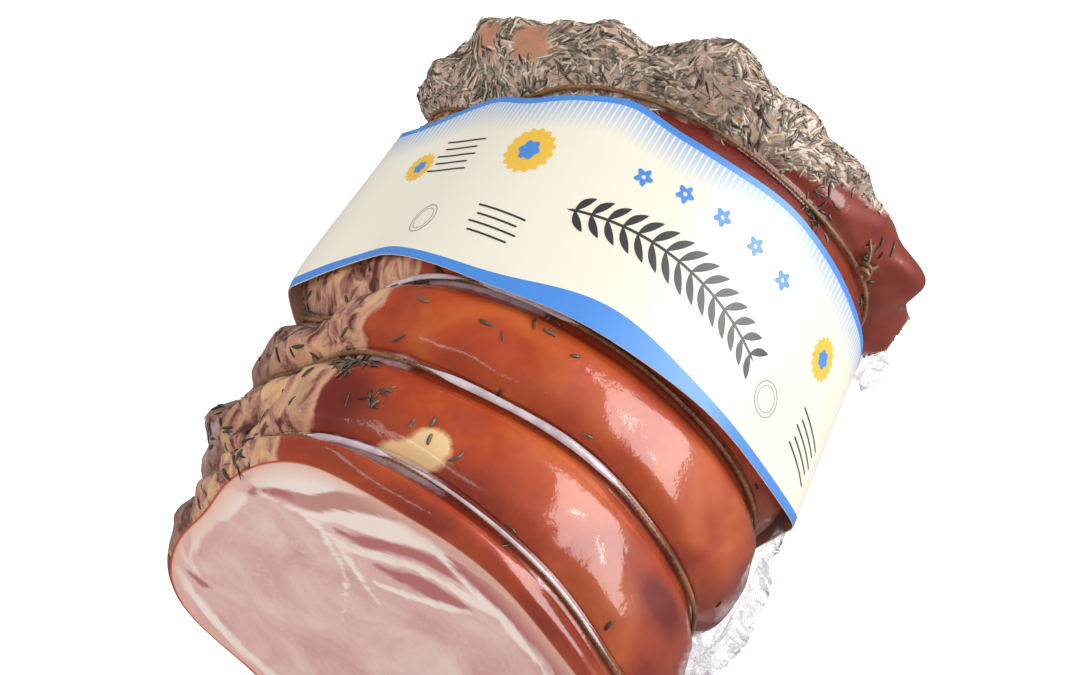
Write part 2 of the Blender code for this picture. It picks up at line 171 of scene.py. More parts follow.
def refine(keys: Array, factor: int) -> Array:
    """Run a Catmull-Rom curve through rows of keys, factor steps to each span.

    Args:
        keys: Values with the key rows first.
        factor: Steps between two key rows.

    Returns:
        The finer rows, from the first key to the last.
    """
    spans = len(keys) - 1
    place = np.arange(spans * factor + 1) / factor
    base = np.minimum(place.astype(int), spans - 1)
    part = (place - base).reshape((-1,) + (1,) * (keys.ndim - 1))
    padded = np.concatenate([2 * keys[:1] - keys[1:2], keys, 2 * keys[-1:] - keys[-2:-1]])
    before, here, after, beyond = (padded[base + step] for step in range(4))
    curve = 2 * here + (after - before) * part
    curve = curve + (2 * before - 5 * here + 4 * after - beyond) * part ** 2
    return 0.5 * (curve + (3 * here - before - 3 * after + beyond) * part ** 3)


def unit(vectors: Array) -> Array:
    """Vectors scaled to a length of one."""
    return vectors / np.maximum(np.linalg.norm(vectors, axis=-1, keepdims=True), 1e-12)


# Meshes from arrays.


class Sculpt:
    """Points and faces gathered from grids, written in one go to a Blender mesh."""

    def __init__(self) -> None:
        """Start empty."""
        self.points: list[Array] = []
        self.faces: list[tuple[Array, int]] = []
        self.count = 0

    def add_points(self, points: Array) -> Array:
        """Add points and return their indices in the same layout."""
        shape = points.shape[:-1]
        self.points.append(points.reshape(-1, 3))
        first = self.count
        self.count += int(np.prod(shape))
        return np.arange(first, self.count).reshape(shape)

    def add_quads(self, index: Array, wrap: bool = False, slot: int = 0) -> None:
        """Join neighbouring rows and columns of indices by quads.

        Args:
            index: Rows and columns of point indices.
            wrap: Whether the last column joins the first.
            slot: Material slot of the faces.
        """
        ring = np.concatenate([index, index[:, :1]], axis=1) if wrap else index
        quads = np.stack([ring[:-1, :-1], ring[:-1, 1:], ring[1:, 1:], ring[1:, :-1]], axis=-1)
        self.faces.append((quads.reshape(-1, 4), slot))

    def add_fan(self, ring: Array, tip: Array, slot: int = 0) -> None:
        """Close a ring of indices with triangles to one new point."""
        top = self.add_points(tip.reshape(1, 3))[0]
        after = np.roll(ring, -1)
        self.faces.append((np.stack([ring, after, np.full_like(ring, top)], axis=-1), slot))

    def add_slab(self, top: Array, bottom: Array, slot: int = 0) -> None:
        """A closed thin plate between two grids of the same layout."""
        upper = self.add_points(top)
        lower = self.add_points(bottom)
        self.add_quads(upper, slot=slot)
        self.add_quads(lower[:, ::-1], slot=slot)
        for sheet in (0, -1):
            self.add_quads(np.stack([upper[sheet], lower[sheet]]), slot=slot)
            self.add_quads(np.stack([upper[:, sheet], lower[:, sheet]]), slot=slot)

    def add_tube(self, rings: Array, closed: bool) -> None:
        """A tube through rings of points: joined end to start, or ended by flat fans."""
        index = self.add_points(rings)
        self.add_quads(np.concatenate([index, index[:1]]) if closed else index, wrap=True)
        if not closed:
            self.add_fan(index[0], rings[0].mean(axis=0))
            self.add_fan(index[-1], rings[-1].mean(axis=0))

    def write(self, name: str, materials: list[Material],
              values: dict[str, Array] | None = None, sharp: float = 180.0) -> Piece:
        """Make the object: closed, smooth, with its faces turned outwards.

        Args:
            name: The object's name.
            materials: Its material slots, in order.
            values: Named numbers, one a point, kept as float attributes.
            sharp: Edges that turn more than this many degrees stay sharp.

        Returns:
            The new object at the origin.
        """
        mesh = bpy.data.meshes.new(name)
        points = np.concatenate(self.points)
        corners = np.concatenate([faces.ravel() for faces, _ in self.faces])
        sizes = np.concatenate([np.full(len(faces), faces.shape[1]) for faces, _ in self.faces])
        slots = np.concatenate([np.full(len(faces), slot) for faces, slot in self.faces])
        mesh.vertices.add(len(points))
        mesh.vertices.foreach_set("co", points.astype(np.float32).ravel())
        mesh.loops.add(len(corners))
        mesh.loops.foreach_set("vertex_index", corners.astype(np.int32))
        mesh.polygons.add(len(sizes))
        starts = np.concatenate([[0], np.cumsum(sizes)[:-1]])
        mesh.polygons.foreach_set("loop_start", starts.astype(np.int32))
        mesh.polygons.foreach_set("material_index", slots.astype(np.int32))
        mesh.update(calc_edges=True)
        for key, numbers in (values or {}).items():
            layer = mesh.attributes.new(key, "FLOAT", "POINT")
            layer.data.foreach_set("value", np.asarray(numbers, np.float32).ravel())
        shell = bmesh.new()
        shell.from_mesh(mesh)
        bmesh.ops.recalc_face_normals(shell, faces=shell.faces)
        shell.to_mesh(mesh)
        shell.free()
        mesh.shade_smooth()
        if sharp < 180.0:
            mesh.set_sharp_from_angle(angle=math.radians(sharp))
        for material in materials:
            mesh.materials.append(material)
        piece = bpy.data.objects.new(name, mesh)
        bpy.context.scene.collection.objects.link(piece)
        return piece


def settle(piece: Piece, slot: Slot, *nodes: str) -> Piece:
    """Ride a piece on the body, hide the solids of the nodes it stands for, and report it."""
    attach(piece, BODY)
    if nodes:
        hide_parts(*nodes)
    mesh = piece.data
    log.info("%s: %d points, %d faces", piece.name, len(mesh.vertices), len(mesh.polygons))
    return piece


def sweep(path: Array, outward: Array, radii: Array, sides: int,
          lobes: int = 0, depth: float = 0.0, twist: Array | None = None) -> Array:
    """Rings of a tube along a path.

    A ring's radius is r (1 + depth cos(lobes a - twist)), with a the angle round the path.

    Args:
        path: Points of the middle line.
        outward: A direction at each point that the ring's first axis leans to.
        radii: The tube's radius at each point.
        sides: Points round a ring.
        lobes: Strands that show round a ring.
        depth: How deep the grooves between strands are, as a share of the radius.
        twist: The strands' turn at each point, in radians.

    Returns:
        Points as rings by sides.
    """
    along = unit(np.gradient(path, axis=0))
    side = unit(np.cross(along, outward))
    up = np.cross(side, along)
    angles = np.arange(sides) * TAU / sides
    turn = np.zeros(len(path)) if twist is None else twist
    swell = 1.0 + depth * np.cos(lobes * angles[None, :] - turn[:, None])
    reach = (np.asarray(radii)[..., None] * swell)[..., None]
    ring = np.cos(angles)[None, :, None] * up[:, None] + np.sin(angles)[None, :, None] * side[:, None]
    return path[:, None] + reach * ring


# The roll's form, as the solids have it.


@dataclass(frozen=True)
class RollForm:
    """The section, grooves, lobes and crusted end that every piece is worked out from."""

    gap: float = 0.0003
    axis_height: float = 0.0801
    flatness: float = 0.92
    section_lean: float = 5.0
    roll_x: float = -0.0017
    roll_y: float = 0.0241
    dent_depth: float = 0.0095
    dent_width: float = 21.0
    dent_angles: Pair = (-68.0, -47.0)
    dent_stations: Pair = (-0.124, -0.030)
    dent_fade: Pair = (0.046, 0.070)
    side_hollows: tuple[tuple[float, ...], ...] = (
        (0.0052, -84, 24, -0.050, 0.015),
        (0.0030, -90, 18, -0.112, 0.014),
        (0.0035, 94, 34, -0.080, 0.030),
    )
    cut_station: float = -0.124
    cut_lean: float = 12.0
    cut_half_width: float = 0.084
    cut_lip: float = 0.0022
    cut_swells: Humps = ((0.004, -112, 15), (0.006, -22, 16), (-0.0055, 50, 22), (-0.0065, -138, 18))
    string_stations: tuple[float, ...] = (-0.1042, -0.070, -0.032, 0.0545)
    string_wanders: tuple[Humps, ...] = (
        ((0.006, -8, 34), (-0.006, 64, 22)),
        ((0.0055, -20, 40), (0.0045, 28, 24)),
        ((-0.014, -60, 24), (0.002, 20, 30)),
        ((-0.011, -48, 34), (0.004, 92, 26)),
    )
    first_string_lean: float = 0.04
    groove_half_widths: tuple[float, ...] = (0.0825, 0.0830, 0.0832, 0.0815)
    groove_floor: float = 0.0022
    crest_start: tuple[float, ...] = (0.0880, 0.0905, 0.0900)
    crest_end: tuple[float, ...] = (0.0890, 0.0905, 0.0862)
    lobe_steps: tuple[int, ...] = (5, 5, 6)
    lobe_squareness: tuple[float, ...] = (3.0, 3.0, 6.0)
    lip_rows: tuple[Triple, ...] = (
        (0.10, 0.0, 0.0), (0.33, 0.0016, 0.5), (0.62, 0.0020, 0.8))
    shoulder: Triple = (0.86, 0.0012, 0.4)
    rim_station: float = 0.071
    rim_half_width: float = 0.0875
    rim_wander: Humps = ((0.004, 84, 45),)
    tip_station: float = 0.087
    crust_start: tuple[Triple, ...] = (
        (0.22, 0.6, 0.4), (0.60, 1.0, 1.0), (1.0, 1.0, 1.0))
    dome_tilts: tuple[float, ...] = (16, 33, 49, 63, 77)
    dome_powers: Pair = (1.1, 0.72)
    crust_lumps: tuple[tuple[float, ...], ...] = (
        (-0.0042, -30, 0.072, 0.018),
        (-0.0050, -5, 0.072, 0.010),
        (0.0140, 12, 0.072, 0.015),
        (0.0030, 34, 0.074, 0.011),
        (0.0040, 48, 0.072, 0.012),
        (0.0055, 86, 0.070, 0.014),
        (0.0110, 112, 0.070, 0.020),
        (0.0065, -86, 0.057, 0.016),
        (0.0050, 150, 0.074, 0.020),
        (0.0050, -140, 0.075, 0.020),
    )
    lump_radius: float = 0.086
    crust_relief: float = 0.0019
    seam_relief: float = 0.0026
    rind_relief: float = 0.0006
    seam_angle: float = -62.0
    seam_width: float = 26.0
    relief_wavelength: float = 0.024
    relief_seed: int = 5
    loin_centre: Pair = (-0.006, -0.008)
    loin_half_size: Pair = (0.062, 0.050)
    loin_squareness: float = 2.5
    loin_turn: float = -7.0
    loin_end: float = 0.046
    loin_taper: float = 0.022
    loin_blunt: float = 0.62
    loin_end_rows: tuple[float, ...] = (0.35, 0.7, 1.0)
    lift_under_band: float = 0.0016

    def oval(self, angles: Array) -> Array:
        """The leaning oval's radius for a half width of one: 1 / sqrt(sin^2 + (cos / f)^2)."""
        turned = np.radians(np.asarray(angles, float) - self.section_lean)
        return 1.0 / np.sqrt(np.sin(turned) ** 2 + (np.cos(turned) / self.flatness) ** 2)

    def section(self, angles: Array, half_width: Array | float, stations: Array | float) -> Array:
        """Radii of the section: the oval less the dent above the seam and the side hollows."""
        low, high = self.dent_stations
        share = np.clip((stations - low) / (high - low), 0.0, 1.0)
        middle = self.dent_angles[0] + share * (self.dent_angles[1] - self.dent_angles[0])
        fade = np.clip((self.dent_fade[1] - stations) / (self.dent_fade[1] - self.dent_fade[0]), 0, 1)
        radii = half_width * self.oval(angles)
        radii = radii - self.dent_depth * fade * hump(angles, middle, self.dent_width)
        for depth, angle, width, station, length in self.side_hollows:
            reach = np.exp(-((stations - station) / length) ** 2)
            radii = radii - depth * reach * hump(angles, angle, width)
        return radii

    def to_points(self, angles: Array, radii: Array, stations: Array) -> Array:
        """Points from the angle round the axis, the distance from it and the station."""
        turned = np.radians(np.asarray(angles, float))
        x = self.roll_x + radii * np.sin(turned)
        z = self.axis_height + radii * np.cos(turned)
        return np.stack([x, stations + self.roll_y + 0.0 * x, z], axis=-1)

    def outward(self, angles: Array) -> Array:
        """Unit vectors straight out from the axis."""
        turned = np.radians(np.asarray(angles, float))
        return np.stack([np.sin(turned), 0.0 * turned, np.cos(turned)], axis=-1)

    def string_path(self, index: int, angles: Array) -> Array:
        """The station of one turn of twine at each angle; the first leans with the cut."""
        stations = self.string_stations[index] + wander(angles, self.string_wanders[index])
        lean = self.first_string_lean if index == 0 else 0.0
        return stations + lean * self.axis_height * np.cos(np.radians(angles))

    def cut_at(self, heights: Array) -> Array:
        """The station of the cut plane at each height above the axis."""
        return self.cut_station + math.tan(math.radians(self.cut_lean)) * heights

    def cut_edge(self, angles: Array) -> Array:
        """Radius of the cut face's edge, before its lip is rounded off."""
        edge = self.section(angles, self.cut_half_width, self.cut_station)
        return edge + wander(angles, self.cut_swells)

    def key_rings(self, angles: Array) -> Array:
        """Key rings from the cut edge over the lobes to the tip.

        A lobe rises from one groove and falls to the next as 1 - |2u - 1|^p.

        Returns:
            Rings by four values by angles: station, radius, share of relief, and dome or not.
        """
        rings = []
        full = np.ones_like(angles)

        def add(stations: Array, radii: Array, relief: float, dome: float = 0.0) -> None:
            """Keep one ring."""
            rings.append([stations * full, radii * full, relief * full, dome * full])

        edge = self.cut_edge(angles)
        lean = np.cos(np.radians(angles))
        start = self.cut_at(edge * lean)
        first = self.string_path(0, angles) - self.groove_floor
        add(self.cut_at((edge - self.cut_lip) * lean), edge - self.cut_lip, 0.0)
        for share, rise, relief in self.lip_rows:
            add(start + share * (first - start), edge + rise, relief)
        share, rise, relief = self.shoulder
        groove = self.section(angles, self.groove_half_widths[0], first)
        add(start + share * (first - start), 0.5 * (edge + groove) + rise, relief)
        for index, depth in enumerate(self.groove_half_widths):
            path = self.string_path(index, angles)
            for side in (-1.0, 1.0):
                add(path + side * self.groove_floor, self.section(angles, depth, path), 0.0)
            if index < len(self.lobe_steps):
                self.add_lobe(add, index, angles, path)
        rim = self.rim_station + wander(angles, self.rim_wander)
        last = self.string_path(len(self.string_stations) - 1, angles) + self.groove_floor
        depth = self.groove_half_widths[-1]
        for share, rise, relief in self.crust_start:
            stations = last + share * (rim - last)
            half_width = depth + rise * (self.rim_half_width - depth)
            add(stations, self.section(angles, half_width, stations), relief, 1.0)
        for tilt in self.dome_tilts:
            turned = math.radians(tilt)
            stations = rim + (self.tip_station - rim) * math.sin(turned) ** self.dome_powers[0]
            radii = self.section(angles, self.rim_half_width, rim)
            add(stations, radii * math.cos(turned) ** self.dome_powers[1], 1.0, 1.0)
        add(self.tip_station * full, 0.0 * full, 1.0, 1.0)
        return np.array(rings)

    def add_lobe(self, add: Callable[..., None], index: int, angles: Array, path: Array) -> None:
        """Add the rings of the lobe after one string."""
        after = self.string_path(index + 1, angles)
        depth = self.groove_half_widths[index]
        steps = self.lobe_steps[index]
        for step in range(steps):
            share = 0.5 - 0.5 * math.cos(math.pi * (step + 0.5) / steps)
            base = depth + share * (self.groove_half_widths[index + 1] - depth)
            crest = self.crest_start[index]
            crest += share * (self.crest_end[index] - crest)
            rise = 1.0 - abs(2.0 * share - 1.0) ** self.lobe_squareness[index]
            stations = path + self.groove_floor + share * (after - path - 2.0 * self.groove_floor)
            radii = self.section(angles, base + rise * (crest - base), stations)
            add(stations, radii, rise if index < 2 else 0.0)

    def loin_ring(self, angles: Array, grow: float) -> tuple[Array, Array]:
        """The loin's outline from the roll's axis, a turned superellipse, as X and height."""
        turns = np.radians(angles)
        width = self.loin_half_size[0] + grow
        height = self.loin_half_size[1] + grow
        power = self.loin_squareness
        reach = abs(np.sin(turns) / width) ** power + abs(np.cos(turns) / height) ** power
        reach = reach ** (-1.0 / power)
        lean = math.radians(self.loin_turn)
        x = reach * (np.sin(turns) * math.cos(lean) + np.cos(turns) * math.sin(lean))
        z = reach * (np.cos(turns) * math.cos(lean) - np.sin(turns) * math.sin(lean))
        return x, z

    def loin_rings(self, angles: Array, grow: float, rows: int) -> Array:
        """Rings of the loin's side from the cut face to its blunt end."""
        x, z = self.loin_ring(angles, grow)
        middle_x = self.roll_x + self.loin_centre[0]
        middle_z = self.axis_height + self.loin_centre[1]
        face = self.cut_at(self.loin_centre[1] + z)
        taper = self.loin_end - self.loin_taper
        rings = []
        for share in np.linspace(0.0, 1.0, rows):
            stations = face + share * (taper - face) + self.roll_y
            rings.append(np.stack([middle_x + x, stations, middle_z + z], axis=-1))
        for share in self.loin_end_rows:
            size = 1.0 + (self.loin_blunt - 1.0) * share ** 2
            station = taper + share * (self.loin_end + grow - taper) + self.roll_y
            place = np.full_like(x, station)
            rings.append(np.stack([middle_x + size * x, place, middle_z + size * z], axis=-1))
        return np.array(rings)


class Skin:
    """The fine skin: a grid of points with its stations, radii, normals and zone shares."""

    # Where the skin's zones lie: the seam's right edge, the crust's edge and its bare places.
    seam_edge: float = -27.0
    seam_far: float = -98.0
    crust_edge: float = 0.056
    crust_wander: Humps = ((-0.020, -40, 34), (0.024, 85, 32))
    bare_patches: Patches = (
        (1.0, -38.0, 0.0660, 5.0, 0.009), (0.9, -51.0, 0.0660, 4.0, 0.006),
        (0.8, -33.0, 0.0590, 4.0, 0.004))
    # How far each edge wavers: degrees on the seam's two sides, millimetres on the crust's.
    seam_wavers: Pair = (5.0, 8.0)
    crust_waver: float = 4.0
    # Lattice size, seed and octaves of the wavering edges and of each fine relief.
    edge_noise: tuple[float, int, int] = (0.030, 21, 3)
    fold_noise: tuple[float, int, int] = (0.0075, 31, 2)
    clump_noise: tuple[float, int, int] = (0.0085, 41, 3)
    rind_noise: tuple[float, int, int] = (0.022, 51, 2)
    # Heights of the seam's folds, the crust's clumps and the rind's waves.
    fine_heights: Triple = (0.0011, 0.0010, 0.0003)
    fold_stretch: float = 0.22
    # Where the skin is clear of a groove, and of the cut edge.
    groove_clear: Pair = (0.0018, 0.006)
    cut_clear: float = 0.008
    # Where the floor under the band begins and ends, and how softly the skin meets a floor.
    band_floor: tuple[float, float, float, float] = (-0.040, -0.032, 0.048, 0.056)
    floor_ease: float = 0.0006
    dome_draw: float = 0.07
    # The share of the rows in which a station stands only once.
    single_rows: float = 0.93

    def __init__(self, form: RollForm, columns: int, factor: int) -> None:
        """Work out the grid and the zones."""
        self.form = form
        self.angles = np.arange(columns) * 360.0 / columns
        keys = refine(form.key_rings(self.angles), factor)
        self.stations, self.radii, share, dome = keys[:, 0], keys[:, 1], keys[:, 2], keys[:, 3]
        self.radii = np.maximum(self.radii, 0.0)
        self.columns = columns
        self.rows = len(keys)
        base = form.to_points(self.angles, self.radii, self.stations)
        self.place_zones(base, dome)
        self.grid = self.relieve(base, np.clip(share, 0.0, 1.0), np.clip(dome, 0.0, 1.0))
        self.normals = self.find_normals()

    def place_zones(self, base: Array, dome: Array) -> None:
        """Signed depths in millimetres inside the seam strip and the herb crust."""
        waver = lattice_noise(base, *self.edge_noise)
        arc = math.radians(1.0) * self.radii / MM
        turn = turn_between(self.angles, 0.0)
        right = (self.seam_edge + self.seam_wavers[0] * waver - turn) * arc
        left = (turn - self.seam_far - self.seam_wavers[1] * waver) * arc
        self.seam = np.minimum(right, left)
        start = self.crust_edge + wander(self.angles, self.crust_wander)
        self.crust = (self.stations - start) / MM + self.crust_waver * waver
        self.bare = self.spots(self.bare_patches)
        self.on_dome = dome

    def spots(self, patches: Patches) -> Array:
        """The sum of bell-shaped spots: strength, angle, station, and the spread of both."""
        total = np.zeros_like(self.stations)
        for strength, angle, station, width, length in patches:
            reach = np.exp(-((self.stations - station) / length) ** 2)
            total = total + strength * reach * hump(self.angles, angle, width)[None, :]
        return total

    def relieve(self, base: Array, share: Array, dome: Array) -> Array:
        """Lift the skin by the solids' own relief, then by the finer folds and lumps."""
        form = self.form
        centre = base.copy()
        centre[..., 0] = form.roll_x
        centre[..., 2] = form.axis_height
        back = np.clip((form.rim_half_width - self.radii) / form.rim_half_width, 0.0, 1.0)
        centre[..., 1] -= self.dome_draw * back * dome
        outward = unit(base - centre)
        seam = hump(self.angles, form.seam_angle, form.seam_width)[None, :]
        skin_height = form.rind_relief + (form.seam_relief - form.rind_relief) * seam
        height = skin_height + (form.crust_relief - skin_height) * dome
        lift = share * height * ripple(base, form.relief_wavelength, form.relief_seed)
        for amount, angle, middle, width in form.crust_lumps:
            away = turn_between(self.angles, angle)[None, :] * math.radians(1.0) * form.lump_radius
            reach = np.exp(-(away ** 2 + (self.stations - middle) ** 2) / width ** 2)
            lift = lift + share * dome * amount * reach
        lift = lift + self.fine_relief(base)
        grid = base + lift[..., None] * outward
        start, low, high, end = self.band_floor
        floor = form.lift_under_band * smooth(start, low, self.stations) * smooth(end, high, self.stations)
        above = grid[..., 2] - floor
        eased = 0.5 * (above + np.sqrt(above ** 2 + self.floor_ease ** 2))
        grid[..., 2] = floor + eased - 0.25 * self.floor_ease
        return grid

    def fine_relief(self, base: Array) -> Array:
        """Long folds in the seam, clumps in the crust and faint waves in the rind."""
        drawn = base * np.array([1.0, self.fold_stretch, 1.0])
        fold = 1.0 - 1.8 * abs(lattice_noise(drawn, *self.fold_noise))
        seam = smooth(-1.0, 6.0, self.seam) * (1.0 - smooth(-6.0, 2.0, self.crust))
        crust = smooth(-2.0, 4.0, self.crust)
        clump = lattice_noise(base, *self.clump_noise)
        rind = lattice_noise(base, *self.rind_noise)
        clear = smooth(*self.groove_clear, self.from_strings())
        clear = clear * smooth(0.0, self.cut_clear, self.stations - self.stations[0])
        high, middle, low = self.fine_heights
        return clear * (high * seam * fold + middle * crust * clump + low * rind)

    def from_strings(self) -> Array:
        """How far each point's station is from the nearest string's."""
        strings = range(len(self.form.string_stations))
        return np.min([abs(self.stations - self.form.string_path(i, self.angles)) for i in strings], axis=0)

    def find_normals(self) -> Array:
        """Unit normals from the grid's own differences."""
        around = np.roll(self.grid, -1, axis=1) - np.roll(self.grid, 1, axis=1)
        along = np.gradient(self.grid, axis=0)
        normal = unit(np.cross(along, around))
        centre = np.array([self.form.roll_x, 0.0, self.form.axis_height])
        away = (self.grid - centre) * np.array([1.0, 0.0, 1.0])
        away[..., 1] = 0.05 * smooth(0.0, 1.0, self.on_dome)
        return normal * np.where((normal * away).sum(axis=-1, keepdims=True) < 0.0, -1.0, 1.0)

    def at(self, rows: Array, columns: Array) -> tuple[Array, Array]:
        """Points and normals between the grid's rows and columns."""
        i = np.clip(rows.astype(int), 0, self.rows - 2)
        j = columns.astype(int) % self.columns
        k = (j + 1) % self.columns
        u = (rows - i)[:, None]
        v = (columns - np.floor(columns))[:, None]

        def mix(field: Array) -> Array:
            """Blend the four corners."""
            near = field[i, j] * (1 - v) + field[i, k] * v
            return near * (1 - u) + (field[i + 1, j] * (1 - v) + field[i + 1, k] * v) * u

        return mix(self.grid), unit(mix(self.normals))

    def find(self, angle: float, station: float) -> Pair:
        """The row and column of an angle and a station."""
        column = (angle % 360.0) / 360.0 * self.columns
        last = int(self.single_rows * self.rows)
        stations = self.stations[:last, int(column) % self.columns]
        return float(np.interp(station, stations, np.arange(len(stations)))), column


# Materials.


def linear(colour: str) -> tuple[float, float, float, float]:
    """The linear value of an sRGB hex colour such as #B5532A."""
    parts = [int(colour[i:i + 2], 16) / 255.0 for i in (1, 3, 5)]
    parts = [p / 12.92 if p <= 0.04045 else ((p + 0.055) / 1.055) ** 2.4 for p in parts]
    return (*parts, 1.0)


def per(size_mm: float) -> float:
    """A texture's scale for features this many millimetres across."""
    return 1000.0 / size_mm


class Recipe:
    """A material in the making: its Principled shader and one way to add a node."""

    def __init__(self, name: str) -> None:
        """Start a material with only its shader and output."""
        self.material = bpy.data.materials.new(name)
        self.material.use_nodes = True
        self.tree = self.material.node_tree
        self.shader = self.tree.nodes["Principled BSDF"]
        self.place = self.add("TexCoord", {}, "Object")

    def add(self, kind: str, inputs: dict, out: str | int = 0,
            stops: tuple[tuple[float, str], ...] = (), **settings: object) -> Socket:
        """Add a node, set it up and link it.

        Args:
            kind: Blender's name for the node type, without its ShaderNode.
            inputs: Socket name or number to a value or to another node's socket.
            out: Name or number of the socket to hand back.
            stops: A colour ramp's places and hex colours.
            settings: Properties of the node.

        Returns:
            The chosen output socket.
        """
        node = self.tree.nodes.new(f"ShaderNode{kind}")
        for name, value in settings.items():
            setattr(node, name, value)
        for key, value in inputs.items():
            if isinstance(value, Socket):
                self.tree.links.new(value, node.inputs[key])
            else:
                node.inputs[key].default_value = value
        if stops:
            ramp = node.color_ramp
            while len(ramp.elements) < len(stops):
                ramp.elements.new(0.5)
            for element, (place, colour) in zip(ramp.elements, stops):
                element.position = place
                element.color = linear(colour)
        return node.outputs[out]

    def set(self, **values: object) -> None:
        """Give the shader's sockets their values or links; a name's _ stands for a space."""
        for name, value in values.items():
            socket = self.shader.inputs[name.replace("_", " ")]
            if isinstance(value, Socket):
                self.tree.links.new(value, socket)
            else:
                socket.default_value = value


@dataclass(frozen=True)
class RoastedRind:
    """Roasted pork rind under vacuum film: glassy over orange brown, tan folds, grey crust."""

    deep: str = "#982E10"
    brown: str = "#B94410"
    orange: str = "#CE6222"
    burgundy_and_shade: str = "#7A1E14"
    juice: str = "#CDBAC2"
    cream: str = "#F5CE96"
    peach: str = "#DDA684"
    flank_and_shade: str = "#6A3A3A"
    fold_gap_shade: str = "#632E20"
    fold_pink: str = "#B67A66"
    fold_gold_highlight: str = "#EABB80"
    crust_dark: str = "#6A5A50"
    crust_grey: str = "#B8A698"
    crust_pale: str = "#E6DBD2"
    crust_tan: str = "#CFA084"
    bare: str = "#C4835F"

    def build(self) -> Material:
        """Zones come from the skin's own depths in millimetres, made ragged by noise."""
        r = Recipe("roasted_rind_in_film")
        zone = {key: r.add("Attribute", {}, "Fac", attribute_name=key)
                for key in ("seam", "crust", "milk_and_sheen", "cream", "dark", "bare")}
        cloud = r.add("TexNoise", {"Vector": r.place, "Scale": per(30), "Detail": 4.0,
                                   "Roughness": 0.55, "Distortion": 0.4})
        rind = r.add("ValToRGB", {"Fac": cloud},
                     stops=((0.30, self.deep), (0.50, self.brown), (0.70, self.orange)))
        ragged = r.add("TexNoise", {"Vector": r.place, "Scale": per(7), "Detail": 5.0, "Roughness": 0.65})
        shift = r.add("Math", {0: ragged, 1: 0.5}, operation="SUBTRACT")
        # The dark attribute mixes in burgundy: the rind's own dark spots and far lobe, and painted shade
        # down the sides and in the grooves.
        darker = r.add("Math", {0: shift, 1: 0.6, 2: zone["dark"]}, operation="MULTIPLY_ADD",
                       use_clamp=True)
        skin = r.add("Mix", {0: darker, 6: rind, 7: linear(self.burgundy_and_shade)}, 2, data_type="RGBA")
        fat = r.add("Math", {0: shift, 1: 0.9, 2: zone["cream"]}, operation="MULTIPLY_ADD")
        fat = r.add("MapRange", {"Value": fat, "From Min": 0.32, "From Max": 0.62})
        skin = r.add("Mix", {0: fat, 6: skin, 7: linear(self.cream)}, 2, data_type="RGBA")
        skin = self.lay_seam(r, zone, skin, shift)
        skin = self.lay_crust(r, zone, skin, shift)
        # This whitens the skin with set juice beside the grooves and with a painted film sheen on the left
        # flank.
        milk_and_sheen = r.add("Math", {0: shift, 1: 1.6, 2: zone["milk_and_sheen"]}, operation="MULTIPLY_ADD")
        milk_and_sheen = r.add("MapRange", {"Value": milk_and_sheen, "From Min": 0.35, "From Max": 0.85, "To Max": 0.85})
        skin = r.add("Mix", {0: milk_and_sheen, 6: skin, 7: linear(self.juice)}, 2, data_type="RGBA")
        wrinkle = r.add("TexNoise", {"Vector": r.place, "Scale": per(4.5), "Detail": 4.0,
                                     "Roughness": 0.55, "Distortion": 0.3})
        coarse = r.add("Math", {0: zone["crust"], 1: zone["seam"]}, operation="MAXIMUM")
        coarse = r.add("MapRange", {"Value": coarse, "From Min": -1.0, "From Max": 5.0,
                                    "To Min": 0.0003, "To Max": 0.0016})
        bump = r.add("Bump", {"Height": ragged, "Distance": coarse, "Strength": 0.6}, "Normal")
        film = r.add("Bump", {"Height": wrinkle, "Distance": 0.00022, "Strength": 1.0}, "Normal")
        r.set(Base_Color=skin, Roughness=0.5, IOR=1.45, Normal=bump, Coat_Weight=1.0,
              Coat_Roughness=0.025, Coat_IOR=1.5, Coat_Normal=film, Subsurface_Weight=0.08,
              Subsurface_Radius=(0.004, 0.0016, 0.0008))
        return r.material

    def lay_seam(self, r: Recipe, zone: dict, skin: Socket,
                 shift: Socket) -> Socket:
        """Streaks that run along the roll, behind a smooth peach border: pink and peach meat and fat,
        painted shade in dark gaps between folds, and painted golden highlights.
        """
        drawn = r.add("Mapping", {"Vector": r.place, "Scale": (1.0, 0.42, 1.0)})
        streak = r.add("TexNoise", {"Vector": drawn, "Scale": per(8), "Detail": 7.0,
                                    "Roughness": 0.66, "Distortion": 0.8})
        # The ramp's darkest stop is painted shade in the gaps between folds, and its gold stop is a painted
        # highlight.
        folds = r.add("ValToRGB", {"Fac": streak},
                      stops=((0.39, self.fold_gap_shade), (0.46, self.fold_pink), (0.53, self.peach),
                             (0.63, self.fold_gold_highlight)))
        # The flank colour follows the dark attribute: painted shade down the seam's side, with its own dark
        # lumps.
        side = r.add("Math", {0: shift, 1: 1.2, 2: zone["dark"]}, operation="MULTIPLY_ADD", use_clamp=True)
        side = r.add("Math", {0: side, 1: 0.6}, operation="MULTIPLY")
        folds = r.add("Mix", {0: side, 6: folds, 7: linear(self.flank_and_shade)}, 2, data_type="RGBA")
        depth = r.add("Math", {0: shift, 1: 9.0, 2: zone["seam"]}, operation="MULTIPLY_ADD")
        inner = r.add("MapRange", {"Value": depth, "From Min": 2.5, "From Max": 6.0})
        strip = r.add("Mix", {0: inner, 6: linear(self.peach), 7: folds}, 2, data_type="RGBA")
        edge = r.add("MapRange", {"Value": depth, "From Min": 0.0, "From Max": 2.0})
        return r.add("Mix", {0: edge, 6: skin, 7: strip}, 2, data_type="RGBA")

